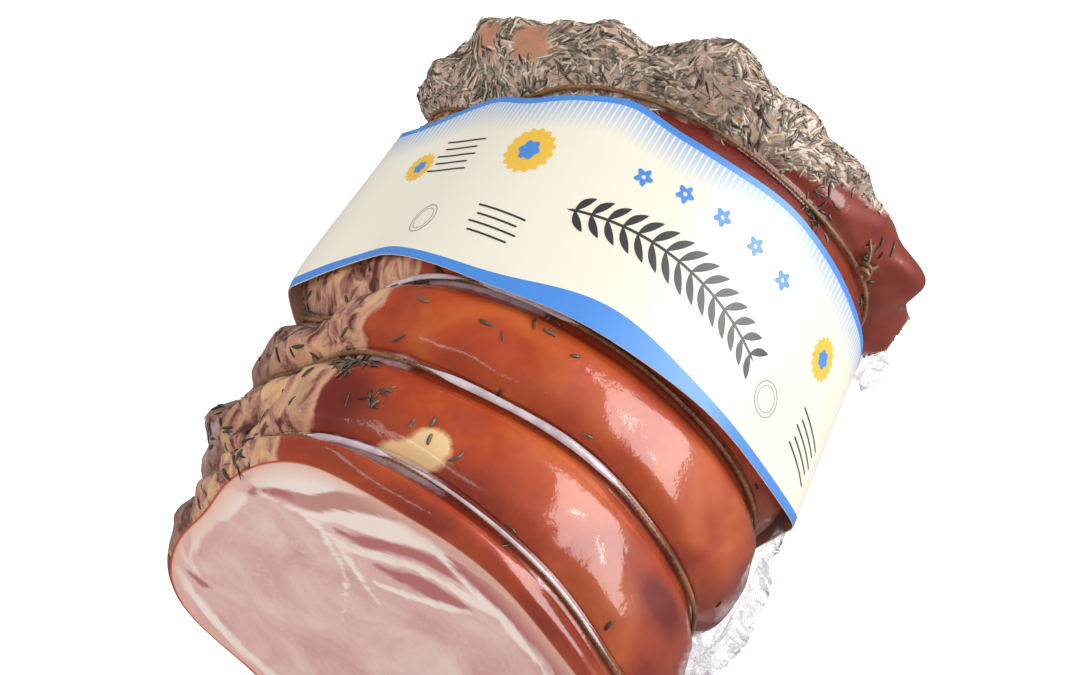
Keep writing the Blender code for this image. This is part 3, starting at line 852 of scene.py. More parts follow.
    def lay_crust(self, r: Recipe, zone: dict, skin: Socket,
                  shift: Socket) -> Socket:
        """Grey brown herb paste with tan and pale greasy places, and the bare patches in it."""
        paste = r.add("TexNoise", {"Vector": r.place, "Scale": per(5), "Detail": 6.0, "Roughness": 0.7})
        crust = r.add("ValToRGB", {"Fac": paste},
                      stops=((0.36, self.crust_dark), (0.46, self.crust_grey),
                             (0.54, self.crust_tan), (0.64, self.crust_pale)))
        depth = r.add("Math", {0: shift, 1: 8.0, 2: zone["crust"]}, operation="MULTIPLY_ADD")
        edge = r.add("MapRange", {"Value": depth, "From Min": 0.0, "From Max": 2.0})
        bare = r.add("Math", {0: shift, 1: 1.2, 2: zone["bare"]}, operation="MULTIPLY_ADD")
        bare = r.add("MapRange", {"Value": bare, "From Min": 0.4, "From Max": 0.5, "To Max": 0.85})
        crust = r.add("Mix", {0: bare, 6: crust, 7: linear(self.bare)}, 2, data_type="RGBA")
        return r.add("Mix", {0: edge, 6: skin, 7: crust}, 2, data_type="RGBA")


@dataclass(frozen=True)
class CutPork:
    """Cooked pork sliced clean: satin, pale pink lean, cream fat with soft ragged edges."""

    pale: str = "#D9AEA9"
    blush: str = "#CE9B97"
    deep: str = "#B56C6B"
    grey: str = "#BD877D"
    fat: str = "#EDDCD1"
    fat_warm: str = "#DFAE9B"
    rind: str = "#B44A20"
    membrane: str = "#E2C8BE"
    centre: Triple = (0.0, 0.0, 0.0)
    ring: float = 0.016

    def build(self) -> Material:
        """Depths inside each tissue, in millimetres, are jogged by noise and then cut."""
        r = Recipe("sliced_cooked_pork")
        zone = {key: r.add("Attribute", {}, "Fac", attribute_name=key)
                for key in ("fat", "lean", "grey", "rim")}
        around = self.around(r)
        mottle = r.add("TexNoise", {"Vector": r.place, "Scale": per(26), "Detail": 6.0,
                                    "Roughness": 0.6, "Distortion": 0.6})
        muscle = r.add("ValToRGB", {"Fac": mottle},
                       stops=((0.36, self.blush), (0.52, self.pale), (0.72, self.membrane)))
        web = r.add("TexNoise", {"Vector": around, "Scale": per(11), "Detail": 4.0,
                                 "Roughness": 0.55, "Distortion": 1.6})
        web = r.add("Math", {0: web, 1: 0.5}, operation="SUBTRACT")
        web = r.add("Math", {0: web}, operation="ABSOLUTE")
        web = r.add("MapRange", {"Value": web, "From Max": 0.016, "To Min": 0.4, "To Max": 0.0})
        colour = r.add("Mix", {0: web, 6: muscle, 7: linear(self.membrane)}, 2, data_type="RGBA")
        ragged = r.add("TexNoise", {"Vector": around, "Scale": per(3.4), "Detail": 6.0,
                                    "Roughness": 0.68, "Distortion": 0.4})
        shift = r.add("Math", {0: ragged, 1: 0.5}, operation="SUBTRACT")
        layers = (("grey", self.grey, 5.0, 1.2, 0.95), ("lean", self.deep, 6.5, 0.8, 1.0),
                  ("fat", self.fat, 7.0, 0.8, 0.95))
        for key, tint, jog, soft, most in layers:
            depth = r.add("Math", {0: shift, 1: jog, 2: zone[key]}, operation="MULTIPLY_ADD")
            share = r.add("MapRange", {"Value": depth, "From Min": -soft, "From Max": soft, "To Max": most})
            colour = r.add("Mix", {0: share, 6: colour, 7: linear(tint)}, 2, data_type="RGBA")
        warm = r.add("MapRange", {"Value": zone["rim"], "From Min": 8.5, "From Max": 0.8, "To Max": 0.85})
        colour = r.add("Mix", {0: warm, 6: colour, 7: linear(self.fat_warm)}, 2, data_type="RGBA")
        rind = r.add("MapRange", {"Value": zone["rim"], "From Min": 1.1, "From Max": 0.5})
        colour = r.add("Mix", {0: rind, 6: colour, 7: linear(self.rind)}, 2, data_type="RGBA")
        grain = r.add("TexNoise", {"Vector": r.place, "Scale": per(1.6), "Detail": 3.0})
        bump = r.add("Bump", {"Height": grain, "Distance": 0.0001, "Strength": 0.5}, "Normal")
        r.set(Base_Color=colour, Roughness=0.42, IOR=1.42, Normal=bump, Subsurface_Weight=0.15,
              Subsurface_Radius=(0.004, 0.002, 0.0014))
        return r.material

    def around(self, r: Recipe) -> Socket:
        """A place that changes four times slower round the axis than away from it."""
        away = r.add("VectorMath", {0: r.place, 1: self.centre}, operation="SUBTRACT")
        away = r.add("VectorMath", {0: away, 1: (1.0, 0.0, 1.0)}, operation="MULTIPLY")
        turn = r.add("VectorMath", {0: away}, operation="NORMALIZE")
        turn = r.add("VectorMath", {0: turn, "Scale": self.ring}, operation="SCALE")
        reach = r.add("VectorMath", {0: away}, "Value", operation="LENGTH")
        reach = r.add("CombineXYZ", {"Y": reach})
        return r.add("VectorMath", {0: turn, 1: reach}, operation="ADD")


@dataclass(frozen=True)
class DriedHerb:
    """Dried rosemary soaked in fat: olive brown to pale grey needles with a wet shine."""

    dark: str = "#3F352B"
    brown: str = "#766859"
    grey: str = "#A89C8D"
    pale: str = "#E2D0B8"

    def build(self) -> Material:
        """Each needle has its own tone; noise along it adds pale edges."""
        r = Recipe("dried_rosemary")
        tone = r.add("Attribute", {}, "Fac", attribute_name="tone")
        flecks = r.add("TexNoise", {"Vector": r.place, "Scale": per(1.4), "Detail": 2.0})
        mixed = r.add("Math", {0: flecks, 1: 0.5, 2: tone}, operation="MULTIPLY_ADD")
        colour = r.add("ValToRGB", {"Fac": mixed},
                       stops=((0.30, self.dark), (0.55, self.brown), (0.85, self.grey),
                              (0.92, self.pale)))
        r.set(Base_Color=colour, Roughness=0.45, IOR=1.45, Coat_Weight=0.6, Coat_Roughness=0.15)
        return r.material


@dataclass(frozen=True)
class ButcherTwine:
    """Cotton butcher's twine cooked in juices: tan, matt, fuzzy between the plies."""

    light: str = "#A47648"
    dark: str = "#5C3A22"

    def build(self) -> Material:
        """Fine mottling at the width of a fibre bundle."""
        r = Recipe("cooked_cotton_twine")
        fibre = r.add("TexNoise", {"Vector": r.place, "Scale": per(1.2), "Detail": 4.0})
        stain = r.add("TexNoise", {"Vector": r.place, "Scale": per(18), "Detail": 2.0})
        mixed = r.add("Mix", {0: 0.5, 2: fibre, 3: stain}, 0, data_type="FLOAT")
        colour = r.add("ValToRGB", {"Fac": mixed}, stops=((0.38, self.dark), (0.62, self.light)))
        bump = r.add("Bump", {"Height": fibre, "Distance": 0.0003}, "Normal")
        r.set(Base_Color=colour, Roughness=0.6, Normal=bump, Coat_Weight=0.5, Coat_Roughness=0.2)
        return r.material


@dataclass(frozen=True)
class SetJuice:
    """Set juice and fat squeezed into the string grooves: milky lilac white, wet."""

    white: str = "#DCD2DA"
    lilac: str = "#C2AFB9"

    def build(self) -> Material:
        """Clouds of milky white under a smooth wet face."""
        r = Recipe("set_juice")
        cloud = r.add("TexNoise", {"Vector": r.place, "Scale": per(5), "Detail": 4.0})
        colour = r.add("ValToRGB", {"Fac": cloud}, stops=((0.35, self.lilac), (0.6, self.white)))
        r.set(Base_Color=colour, Roughness=0.3, IOR=1.4, Coat_Weight=1.0, Coat_Roughness=0.08,
              Subsurface_Weight=0.3, Subsurface_Radius=(0.002, 0.002, 0.002))
        return r.material


@dataclass(frozen=True)
class CoatedPaper:
    """Coated label paper: cream ground, blue printed borders, pale stripes at the far one."""

    cream: str = "#F6F0E0"
    shade: str = "#F1EAD7"
    blue: str = "#4A8FE2"
    stripe: str = "#9DBCE6"
    border_mm: float = 2.5
    stripe_pitch_mm: float = 2.3
    stripe_reach_mm: float = 15.0

    def build(self) -> Material:
        """Borders are cut from the distances to the edges, stripes from the way round."""
        r = Recipe("coated_label_paper")
        zone = {key: r.add("Attribute", {}, "Fac", attribute_name=key)
                for key in ("near_mm", "far_mm", "border")}
        around = r.add("UVMap", {}, "UV", uv_map="label")
        across = r.add("SeparateXYZ", {"Vector": around}, "X")
        tint = r.add("TexNoise", {"Vector": r.place, "Scale": per(60)})
        ground = r.add("Mix", {0: tint, 6: linear(self.cream), 7: linear(self.shade)}, 2, data_type="RGBA")
        phase = r.add("Math", {0: across, 1: 1.0 / self.stripe_pitch_mm}, operation="MULTIPLY")
        phase = r.add("Math", {0: phase}, operation="FRACT")
        bar = r.add("MapRange", {"Value": phase, "From Min": 0.24, "From Max": 0.32})
        fade = r.add("MapRange", {"Value": zone["far_mm"], "From Min": self.border_mm,
                                  "From Max": self.stripe_reach_mm, "To Min": 0.95,
                                  "To Max": 0.0})
        bar = r.add("Math", {0: bar, 1: fade}, operation="MULTIPLY")
        ground = r.add("Mix", {0: bar, 6: ground, 7: linear(self.stripe)}, 2, data_type="RGBA")
        near = r.add("Math", {0: zone["near_mm"], 1: zone["border"]}, operation="LESS_THAN")
        far = r.add("Math", {0: zone["far_mm"], 1: self.border_mm}, operation="LESS_THAN")
        edge = r.add("Math", {0: near, 1: far}, operation="MAXIMUM")
        colour = r.add("Mix", {0: edge, 6: ground, 7: linear(self.blue)}, 2, data_type="RGBA")
        r.set(Base_Color=colour, Roughness=0.42, IOR=1.5, Coat_Weight=0.25, Coat_Roughness=0.25)
        return r.material


@dataclass(frozen=True)
class PrintInk:
    """Ink printed on the label: flat colour with the paper's soft sheen."""

    name: str
    colour: str

    def build(self) -> Material:
        """The ink's colour, mottled a little by the paper's tooth."""
        r = Recipe(f"{self.name}_ink")
        tooth = r.add("TexNoise", {"Vector": r.place, "Scale": per(0.8), "Detail": 2.0})
        level = r.add("MapRange", {"Value": tooth, "To Min": 0.94, "To Max": 1.04})
        colour = r.add("Mix", {0: 1.0, 6: linear(self.colour), 7: level}, 2,
                       data_type="RGBA", blend_type="MULTIPLY")
        r.set(Base_Color=colour, Roughness=0.42, IOR=1.5, Coat_Weight=0.25, Coat_Roughness=0.25)
        return r.material


@dataclass(frozen=True)
class ClearFilm:
    """Clear vacuum film, crinkled: it shines a little face on and more at a slant.

    It is a pale glossy sheet that is mostly see-through. Its alpha is twice the Fresnel
    share, for its two faces, and more along the sharp folds, where it lies double.
    """

    pale: str = "#F2F2F6"
    floor: float = 0.10
    fold: float = 0.42
    crease_mm: float = 4.0
    crease_depth: float = 0.0012

    def build(self) -> Material:
        """Creases bend the reflections, and their sharpest lines are a little milky."""
        r = Recipe("clear_film_crinkled")
        fresnel = r.add("Fresnel", {"IOR": 1.5}, "Fac")
        creases = r.add("TexNoise", {"Vector": r.place, "Scale": per(self.crease_mm),
                                     "Detail": 5.0, "Roughness": 0.6, "Distortion": 1.2})
        ridge = r.add("Math", {0: creases, 1: 0.5}, operation="SUBTRACT")
        ridge = r.add("Math", {0: ridge}, operation="ABSOLUTE")
        ridge = r.add("MapRange", {"Value": ridge, "From Min": 0.0, "From Max": 0.045,
                                   "To Min": self.floor + self.fold, "To Max": self.floor})
        alpha = r.add("Math", {0: fresnel, 1: 2.0, 2: ridge}, operation="MULTIPLY_ADD", use_clamp=True)
        bump = r.add("Bump", {"Height": creases, "Distance": self.crease_depth}, "Normal")
        r.set(Base_Color=linear(self.pale), Roughness=0.16, Specular_IOR_Level=0.8, Alpha=alpha,
              Normal=bump)
        return r.material


@dataclass(frozen=True)
class StudioSweep:
    """White studio paper: even, matt, just off pure white in the shade."""

    white: str = "#F4F4F4"

    def build(self) -> Material:
        """Very faint mottling at the size of a hand."""
        r = Recipe("white_studio_paper")
        tone = r.add("TexNoise", {"Vector": r.place, "Scale": per(400)})
        level = r.add("MapRange", {"Value": tone, "To Min": 0.99, "To Max": 1.0})
        colour = r.add("Mix", {0: 1.0, 6: linear(self.white), 7: level}, 2,
                       data_type="RGBA", blend_type="MULTIPLY")
        r.set(Base_Color=colour, Roughness=0.95, Specular_IOR_Level=0.0, Emission_Color=linear(self.white),
              Emission_Strength=0.6)
        return r.material


# The cut face's tissues.


@dataclass(frozen=True)
class Stroke:
    """A band of tissue on the cut face: X, height above the axis and half width, in mm."""

    points: tuple[Triple, ...]

    def depth(self, x: Array, z: Array) -> Array:
        """Depth inside the band: the half width less the distance to its middle line."""
        best = np.full(np.shape(x), -99.0)
        for (ax, az, aw), (bx, bz, bw) in zip(self.points[:-1], self.points[1:]):
            run = (bx - ax) ** 2 + (bz - az) ** 2
            share = np.clip(((x - ax) * (bx - ax) + (z - az) * (bz - az)) / run, 0.0, 1.0)
            away = np.hypot(x - ax - share * (bx - ax), z - az - share * (bz - az))
            best = np.maximum(best, aw + share * (bw - aw) - away)
        return best


@dataclass(frozen=True)
class Tissues:
    """The bands of fat and lean that show on the cut."""

    form: RollForm
    fat: tuple[Stroke, ...] = (
        Stroke(((-52, 45, 2.5), (-58, 37.5, 4.5), (-64, 26, 4), (-69, 12, 1.8), (-72, -2, 0.8),
                (-70, -9, 0.3))),
        Stroke(((-47, 55, 2), (-40, 64, 6), (-32.5, 69, 8), (-23, 75.7, 5.2), (-13, 78.3, 4),
                (-3, 80.5, 1.6), (6, 81.5, 0.6))),
        Stroke(((-46, 51, 0.7), (-38, 51, 0.8), (-31, 51.6, 1.2), (-24, 54, 1.8), (-18.8, 58.4, 2.6),
                (-10, 61.5, 4.4), (-4, 64, 5.2), (3, 66.4, 4.8), (9, 66.6, 3.2), (14, 65, 1.6))),
        Stroke(((14, 65, 1.4), (19.2, 60.6, 1.2), (25.8, 55.5, 1.4), (34.9, 50.1, 2), (41.6, 43.7, 1.8),
                (51.6, 35, 1.4), (58, 24, 1.2), (61, 10, 1))),
        Stroke(((-21.3, 47.4, 1.4), (-14.8, 44.9, 1.8), (-5.8, 48, 1.9), (6.9, 52.2, 1.7),
                (17.6, 52.4, 1.7), (26.2, 50.5, 2.4), (35, 48.8, 1.8))),
        Stroke(((-4.8, 34.7, 0.8), (6, 36.4, 1.6), (17, 40, 1.2), (25.9, 43.6, 0.8))),
        Stroke(((-31, 51.4, 0.8), (-23.4, 47.4, 1.3), (-21.7, 42.5, 1.2), (-17.9, 36.2, 0.7), (-15, 29, 0.5),
                (-14.8, 19.6, 0.3), (-15, 6.4, -0.2))),
        Stroke(((-17.7, 43.4, 1.5), (-13.3, 37.3, 1.2), (-7.4, 29, 0.7), (-3, 24.9, 0.1))),
        Stroke(((-76.5, 7, 0.6), (-74, -4, 0.8), (-68, -10, 0.2))),
        Stroke(((-77, -13, 1.6), (-72, -22, 2.4), (-66, -29, 2.6), (-60, -35, 2.6), (-54, -41, 2.6),
                (-46, -46, 2.4), (-38, -50, 2), (-24, -55, 2), (-8, -58, 1.8), (12, -58, 2),
                (32, -54, 2), (48, -44, 2), (58, -28, 1.6), (61, -8, 1))),
        Stroke(((-60, -48, 1.2), (-46, -58, 1.6), (-28, -66, 1.6), (-6, -70, 1.6), (18, -69, 1.8),
                (40, -60, 1.8), (58, -46, 1.8), (70, -26, 1.6), (74, -4, 1.2), (73, 16, 1))),
    )
    lean: tuple[Stroke, ...] = (
        Stroke(((-18.5, 50.6, 1.6), (-10.5, 52.4, 2.7), (-3, 55.6, 2.6), (6.7, 58.6, 2.8), (13.2, 59.3, 3.2),
                (19.5, 58, 2.2), (25.8, 55.5, 0.4))),
        Stroke(((15.5, 65, 0.6), (22, 62.2, 2.6), (27.5, 60, 3.4), (33.5, 57.4, 3.8), (39.3, 54.2, 4.2),
                (45.7, 50, 4.4), (52, 44.6, 4.2), (57.7, 38, 3.6), (63, 28, 3), (67, 14, 2.4), (68, 0, 2))),
        Stroke(((-5, 43.5, 0.8), (1.5, 43.8, 2.8), (8, 44.6, 3.8), (14, 45, 4.0), (20, 44.8, 3),
                (26, 45, 0.6))),
        Stroke(((-49, 49, 1.2), (-46, 53, 2.2), (-42, 56, 2.4), (-36, 56.6, 2))),
        Stroke(((-72, -12, 0.8), (-69, -14, 1.6), (-65, -14, 1.2))),
        Stroke(((-36, -55, 1.8), (-24, -61, 3.6), (-6, -64, 3.8), (14, -63, 4), (34, -58, 3.8),
                (50, -48, 3.6), (62, -32, 3.6), (67, -12, 3))),
    )
    grey: tuple[Stroke, ...] = (
        Stroke(((-44, 54, 2), (-36, 57, 4), (-28, 59, 5), (-20, 65, 5), (-12, 69.5, 5), (-4, 73, 4.6),
                (4, 75, 4), (14, 73.5, 3.8), (24, 69.5, 3.4), (34, 65, 3.2), (44, 59, 3), (54, 50, 2.6),
                (62, 38, 2))),
        Stroke(((-40, -66, 2), (-20, -74, 3), (4, -76, 3.4), (28, -72, 3.4), (50, -60, 3), (68, -40, 3),
                (78, -14, 2.6))),
    )

    def fields(self, points: Array) -> dict[str, Array]:
        """Depths in millimetres inside the fat, the deep lean, the grey lean and the rim."""
        x = (points[..., 0] - self.form.roll_x) / MM
        z = (points[..., 2] - self.form.axis_height) / MM
        angles = np.degrees(np.arctan2(x, z))
        edge = (self.form.cut_edge(angles) - self.form.cut_lip) / MM
        field = {name: np.max([stroke.depth(x, z) for stroke in strokes], axis=0)
                 for name, strokes in (("fat", self.fat), ("lean", self.lean), ("grey", self.grey))}
        field["rim"] = edge - np.hypot(x, z)
        return field


# The pieces.


@dataclass(frozen=True)
class Roast:
    """The belly wrap with its cut face, and the loin inside it.

    A juice band is a string's number, its first and last angle, and how milky it is.
    """

    form: RollForm
    skin: Skin
    tissues: Tissues
    face_rows: int = 26
    loin_rows: int = 90
    sharp: float = 58.0
    juice_bands: tuple[tuple[int, float, float, float], ...] = (
        (0, -28.0, 8.0, 0.9), (1, -45.0, -14.0, 0.7), (2, -56.0, 6.0, 0.9))
    # Patches: strength, angle, station, and the spread of both. The web patches are milky film on the left
    # flank, with a painted sheen where the film is seen at a slant.
    web_and_sheen_patches: Patches = (
        (0.55, -70.0, -0.1060, 8.0, 0.007), (0.5, -76.0, -0.0900, 7.0, 0.006),
        (0.5, -52.0, -0.1200, 6.0, 0.004), (0.45, -60.0, -0.0620, 7.0, 0.005),
        (0.45, -38.0, -0.0400, 6.0, 0.005), (0.4, -84.0, -0.100, 8.0, 0.012))
    cream_patches: Patches = (
        (1.3, 0.0, -0.0880, 4.6, 0.0052), (1.0, -7.0, -0.0925, 4.5, 0.0028),
        (0.7, -15.0, -0.0950, 5.0, 0.0018))
    # Dark patches: partly the rind's own dark spots, partly painted shade low on both sides.
    dark_and_shade_patches: Patches = (
        (1.6, 62.0, -0.0845, 8.0, 0.0052), (0.9, -82.0, -0.0850, 14.0, 0.032),
        (0.5, -76.0, -0.0400, 12.0, 0.014), (1.2, -24.0, -0.0840, 10.0, 0.014),
        (0.3, 92.0, -0.05, 22.0, 0.05), (0.45, 90.0, -0.115, 16.0, 0.02),
        (0.8, -88.0, -0.095, 12.0, 0.03), (0.5, 12.0, 0.050, 30.0, 0.008),
        (0.35, 50.0, -0.0930, 14.0, 0.012))
    # Shares of burgundy: painted shade down the sides and in the grooves beside the strings, the rind's own
    # burgundy past the band, and a darker rim at the cut.
    side_painted_shade: float = 0.75
    far_dark: float = 0.74
    groove_painted_shade: float = 0.45
    lip_dark: float = 0.22
    # Lattice size, seed and octaves of the cut's low waves, and the heights of waves and fat.
    face_noise: tuple[float, int, int] = (0.016, 61, 2)
    wave_height: float = 0.00025
    fat_height: float = 0.00022
    loin_clearance: float = 0.00002

    def milk_and_sheen(self) -> Array:
        """How milky the skin is beside each groove, by its distance from the twine, plus the milky film web
        on the left flank with a painted sheen of film seen at a slant.
        """
        skin = self.skin
        total = np.zeros_like(skin.stations)
        for index, start, end, strength in self.juice_bands:
            turn = turn_between(skin.angles, 0.0)
            along = smooth(start - 6.0, start + 4.0, turn) * smooth(end + 6.0, end - 6.0, turn)
            away = abs(skin.stations - self.form.string_path(index, skin.angles)) / MM
            total = np.maximum(total, strength * along[None, :] * smooth(3.4, 1.2, away))
        return total + skin.spots(self.web_and_sheen_patches)

    def dark(self) -> Array:
        """The rind's own burgundy on the far lobe beyond the band, and painted shade down both sides and in
        the grooves.
        """
        skin = self.skin
        turn = abs(turn_between(skin.angles, 8.0))[None, :]
        side = self.side_painted_shade * smooth(54.0, 108.0, turn)
        far = self.far_dark * smooth(-0.03, 0.045, skin.stations)
        far = far * smooth(-26.0, -8.0, turn_between(skin.angles, 0.0))
        groove = self.groove_painted_shade * smooth(0.0035, 0.0015, skin.from_strings())
        lip = self.lip_dark * smooth(0.006, 0.003, skin.stations - skin.stations[0])
        shade = np.maximum(np.maximum(side, far), groove + lip) + skin.spots(self.dark_and_shade_patches)
        return np.clip(shade, 0.0, 1.2)

    def add_belly(self, rind: Material, cut: Material) -> Piece:
        """The skin, the ring of cut belly and the pocket, as one closed mesh."""
        skin = self.skin
        shape = Sculpt()
        index = shape.add_points(skin.grid[:-1])
        shape.add_quads(index, wrap=True, slot=0)
        shape.add_fan(index[-1], skin.grid[-1].mean(axis=0), slot=0)
        pocket = self.form.loin_rings(skin.angles, 0.5 * self.form.gap, 4)
        share = np.linspace(0.0, 1.0, self.face_rows)[1:, None, None]
        face = skin.grid[:1] * (1.0 - share) + pocket[:1] * share
        face[..., 1] += self.face_relief(face)
        face_index = shape.add_points(face)
        shape.add_quads(np.concatenate([index[:1], face_index]), wrap=True, slot=1)
        inside = shape.add_points(pocket[1:])
        shape.add_quads(np.concatenate([face_index[-1:], inside]), wrap=True, slot=1)
        shape.add_fan(inside[-1], pocket[-1].mean(axis=0), slot=1)
        points = np.concatenate(shape.points)
        values = self.tissues.fields(points)
        rest = len(points) - skin.grid[:-1].size // 3
        for name, field in (("seam", skin.seam), ("crust", skin.crust), ("milk_and_sheen", self.milk_and_sheen()),
                            ("cream", skin.spots(self.cream_patches)), ("dark", self.dark()),
                            ("bare", skin.bare)):
            values[name] = np.concatenate([field[:-1].ravel(), np.full(rest, field[-1, 0])])
        return shape.write("belly_skin_and_cut", [rind, cut], values, sharp=self.sharp)

    def face_relief(self, points: Array) -> Array:
        """The cut's slight unevenness: low waves, with the fat standing a little proud."""
        wave = self.wave_height * lattice_noise(points, *self.face_noise)
        fat = self.tissues.fields(points)["fat"]
        return wave - self.fat_height * smooth(-1.0, 1.5, fat)

    def add_loin(self, cut: Material) -> Piece:
        """The loin: its cut face as rings towards the middle, then its side and blunt end."""
        shape = Sculpt()
        side = self.form.loin_rings(self.skin.angles, 0.5 * self.form.gap - self.loin_clearance, 4)
        rows = np.linspace(0.0, 1.0, self.loin_rows)[:-1]
        middle_x = self.form.roll_x + self.form.loin_centre[0]
        middle_z = self.form.axis_height + self.form.loin_centre[1]
        middle_y = self.form.roll_y + self.form.cut_at(self.form.loin_centre[1])
        middle = np.array([middle_x, middle_y, middle_z])
        face = side[:1] + rows[:, None, None] * (middle - side[:1])
        face[..., 1] += self.face_relief(face)
        index = shape.add_points(face)
        shape.add_quads(index, wrap=True)
        middle[1] += float(self.face_relief(middle[None])[0])
        shape.add_fan(index[-1], middle)
        inside = shape.add_points(side[1:])
        shape.add_quads(np.concatenate([index[:1], inside]), wrap=True)
        shape.add_fan(inside[-1], side[-1].mean(axis=0))
        values = self.tissues.fields(np.concatenate(shape.points))
        return shape.write("loin_cut", [cut], values, sharp=self.sharp)

    def build(self) -> None:
        """Make both pieces and settle them on their nodes."""
        cut = CutPork(centre=(self.form.roll_x, 0.0, self.form.axis_height)).build()
        settle(self.add_belly(RoastedRind().build(), cut), Slot.RIND, "belly_wrap")
        settle(self.add_loin(cut), Slot.LOIN, "loin_core")


@dataclass(frozen=True)
class NeedleKind:
    """One kind of needle: its seed, its turn off the swirl, its height over the skin, its length."""

    seed: int
    spread: float
    lift: Pair
    long: Pair


@dataclass(frozen=True)
class Herbs:
    """Rosemary needles: thick on the crust, in clumps on the seam and loose on the rind."""

    skin: Skin
    on_crust: NeedleKind = NeedleKind(102, 0.45, (-0.0001, 0.0003), (0.0036, 0.0072))
    flakes: NeedleKind = NeedleKind(112, 1.2, (-0.0001, 0.0004), (0.0018, 0.0036))
    loose: NeedleKind = NeedleKind(108, 0.9, (0.0, 0.0004), (0.0034, 0.0064))
    # How many spots each zone gets, and the seed of their places.
    crust_spots: tuple[int, int] = (5400, 101)
    flake_spots: tuple[int, int] = (4200, 111)
    seam_spots: tuple[int, int] = (150, 103)
    rind_spots: tuple[int, int] = (24, 105)
    cluster_seed: int = 107
    # A needle: half width and half thickness, the places of its rings and its width at each.
    half_width: float = 0.00054
    half_thickness: float = 0.00026
    ring_places: tuple[float, ...] = (-0.5, -0.40, -0.14, 0.18, 0.42, 0.5)
    ring_widths: tuple[float, ...] = (0.0, 0.75, 1.0, 0.92, 0.55, 0.0)
    # Its section's corners, as shares of the half width and the half thickness.
    corners: tuple[Pair, ...] = ((1.0, 0.0), (0.0, 1.0), (-1.0, 0.0), (0.0, -0.45))
    # How needles lie: a slow swirl off one direction, then small tilts, rolls, bends and arches.
    grain: Triple = (0.31, 0.87, 0.39)
    swirl_turn: float = 1.4 * math.pi
    swirl_size: float = 0.028
    tilt: float = 0.035
    roll: float = 0.7
    bend: float = 0.0003
    arch: float = 0.0004
    sizes: Pair = (0.6, 1.3)
    tone_shape: Pair = (1.6, 1.9)
    # Clumps: angle, station, spread and count. Single needles: angle and station.
    clusters: tuple[tuple[float, float, float, int], ...] = (
        (-27, -0.071, 0.0028, 34), (-32, -0.068, 0.0030, 20), (-43, -0.109, 0.005, 8),
        (-63, -0.050, 0.005, 9),
        (-53, -0.048, 0.004, 7), (-28, -0.038, 0.003, 6), (-78, -0.084, 0.005, 20), (-74, -0.112, 0.004, 14),
        (-23, -0.029, 0.003, 6), (-17, -0.083, 0.0016, 6), (-14, -0.077, 0.001, 3), (8, -0.0305, 0.002, 7),
        (50, 0.055, 0.004, 26), (70, 0.062, 0.003, 12), (84, 0.058, 0.003, 10))
    singles: tuple[Pair, ...] = (
        (5, -0.038), (16, -0.042), (27, -0.059), (-2, -0.081), (-1, -0.086), (6, -0.087), (24, -0.101),
        (53, -0.101), (9, -0.039), (-3, -0.046), (-20, -0.059), (-22, -0.084), (-6, -0.084), (23, -0.0955))

    def needles(self, spots: Array, normals: Array, kind: NeedleKind) -> tuple[Sculpt, Array]:
        """Curved tapered needles laid on the skin.

        A needle has four rings of four points and two tips. Its middle line is a parabola
        that dips to the skin at both ends, and it lies along a direction that swirls slowly
        over the surface.

        Args:
            spots: Where each needle's middle is.
            normals: The skin's normal there.
            kind: The needles' seed, turn, height and length.

        Returns:
            The gathered mesh and one tone a point.
        """
        draw = np.random.default_rng(kind.seed)
        count = len(spots)
        reference = unit(np.cross(normals, np.array(self.grain)))
        across = np.cross(normals, reference)
        swirl = self.swirl_turn * lattice_noise(spots, self.swirl_size, kind.seed + 1)
        swirl = swirl + draw.normal(0.0, kind.spread, count)
        along = np.cos(swirl)[:, None] * reference + np.sin(swirl)[:, None] * across
        along = unit(along + draw.normal(0.0, self.tilt, count)[:, None] * normals)
        side = unit(np.cross(normals, along))
        roll = draw.uniform(-self.roll, self.roll, count)[:, None]
        wide = np.cos(roll) * side + np.sin(roll) * normals
        thick = np.cross(along, wide)
        length = draw.uniform(*kind.long, count)
        bend = draw.normal(0.0, self.bend, count)
        arch = draw.uniform(0.0, self.arch, count)
        height = draw.uniform(*kind.lift, count)
        size = draw.uniform(*self.sizes, count)
        place = np.array(self.ring_places)
        width = np.array(self.ring_widths)
        middle = spots[:, None] + height[:, None, None] * normals[:, None]
        middle = middle + (length[:, None] * place)[..., None] * along[:, None]
        middle = middle + (bend[:, None] * 4.0 * place ** 2)[..., None] * side[:, None]
        middle = middle + (arch[:, None] * (0.5 - 4.0 * place ** 2))[..., None] * normals[:, None]
        corners = np.array(self.corners)
        reach = size[:, None] * width
        ring = corners[:, 0, None] * self.half_width * wide[:, None, None]
        ring = ring + corners[:, 1, None] * self.half_thickness * thick[:, None, None]
        body = middle[:, 1:5, None] + reach[:, 1:5, None, None] * ring
        points = np.concatenate([body.reshape(count, 16, 3), middle[:, :1], middle[:, 5:]], axis=1)
        shape = Sculpt()
        index = shape.add_points(points)
        rings = index[:, :16].reshape(count, 4, 4)
        turned = np.roll(rings, -1, axis=2)
        quads = np.stack([rings[:, :-1], turned[:, :-1], turned[:, 1:], rings[:, 1:]], axis=-1)
        shape.faces.append((quads.reshape(-1, 4), 0))
        for row, tip in ((0, 16), (3, 17)):
            tips = np.repeat(index[:, tip, None], 4, axis=1)
            shape.faces.append((np.stack([rings[:, row], turned[:, row], tips], -1).reshape(-1, 3), 0))
        tone = np.repeat(draw.beta(*self.tone_shape, count), points.shape[1])
        return shape, tone

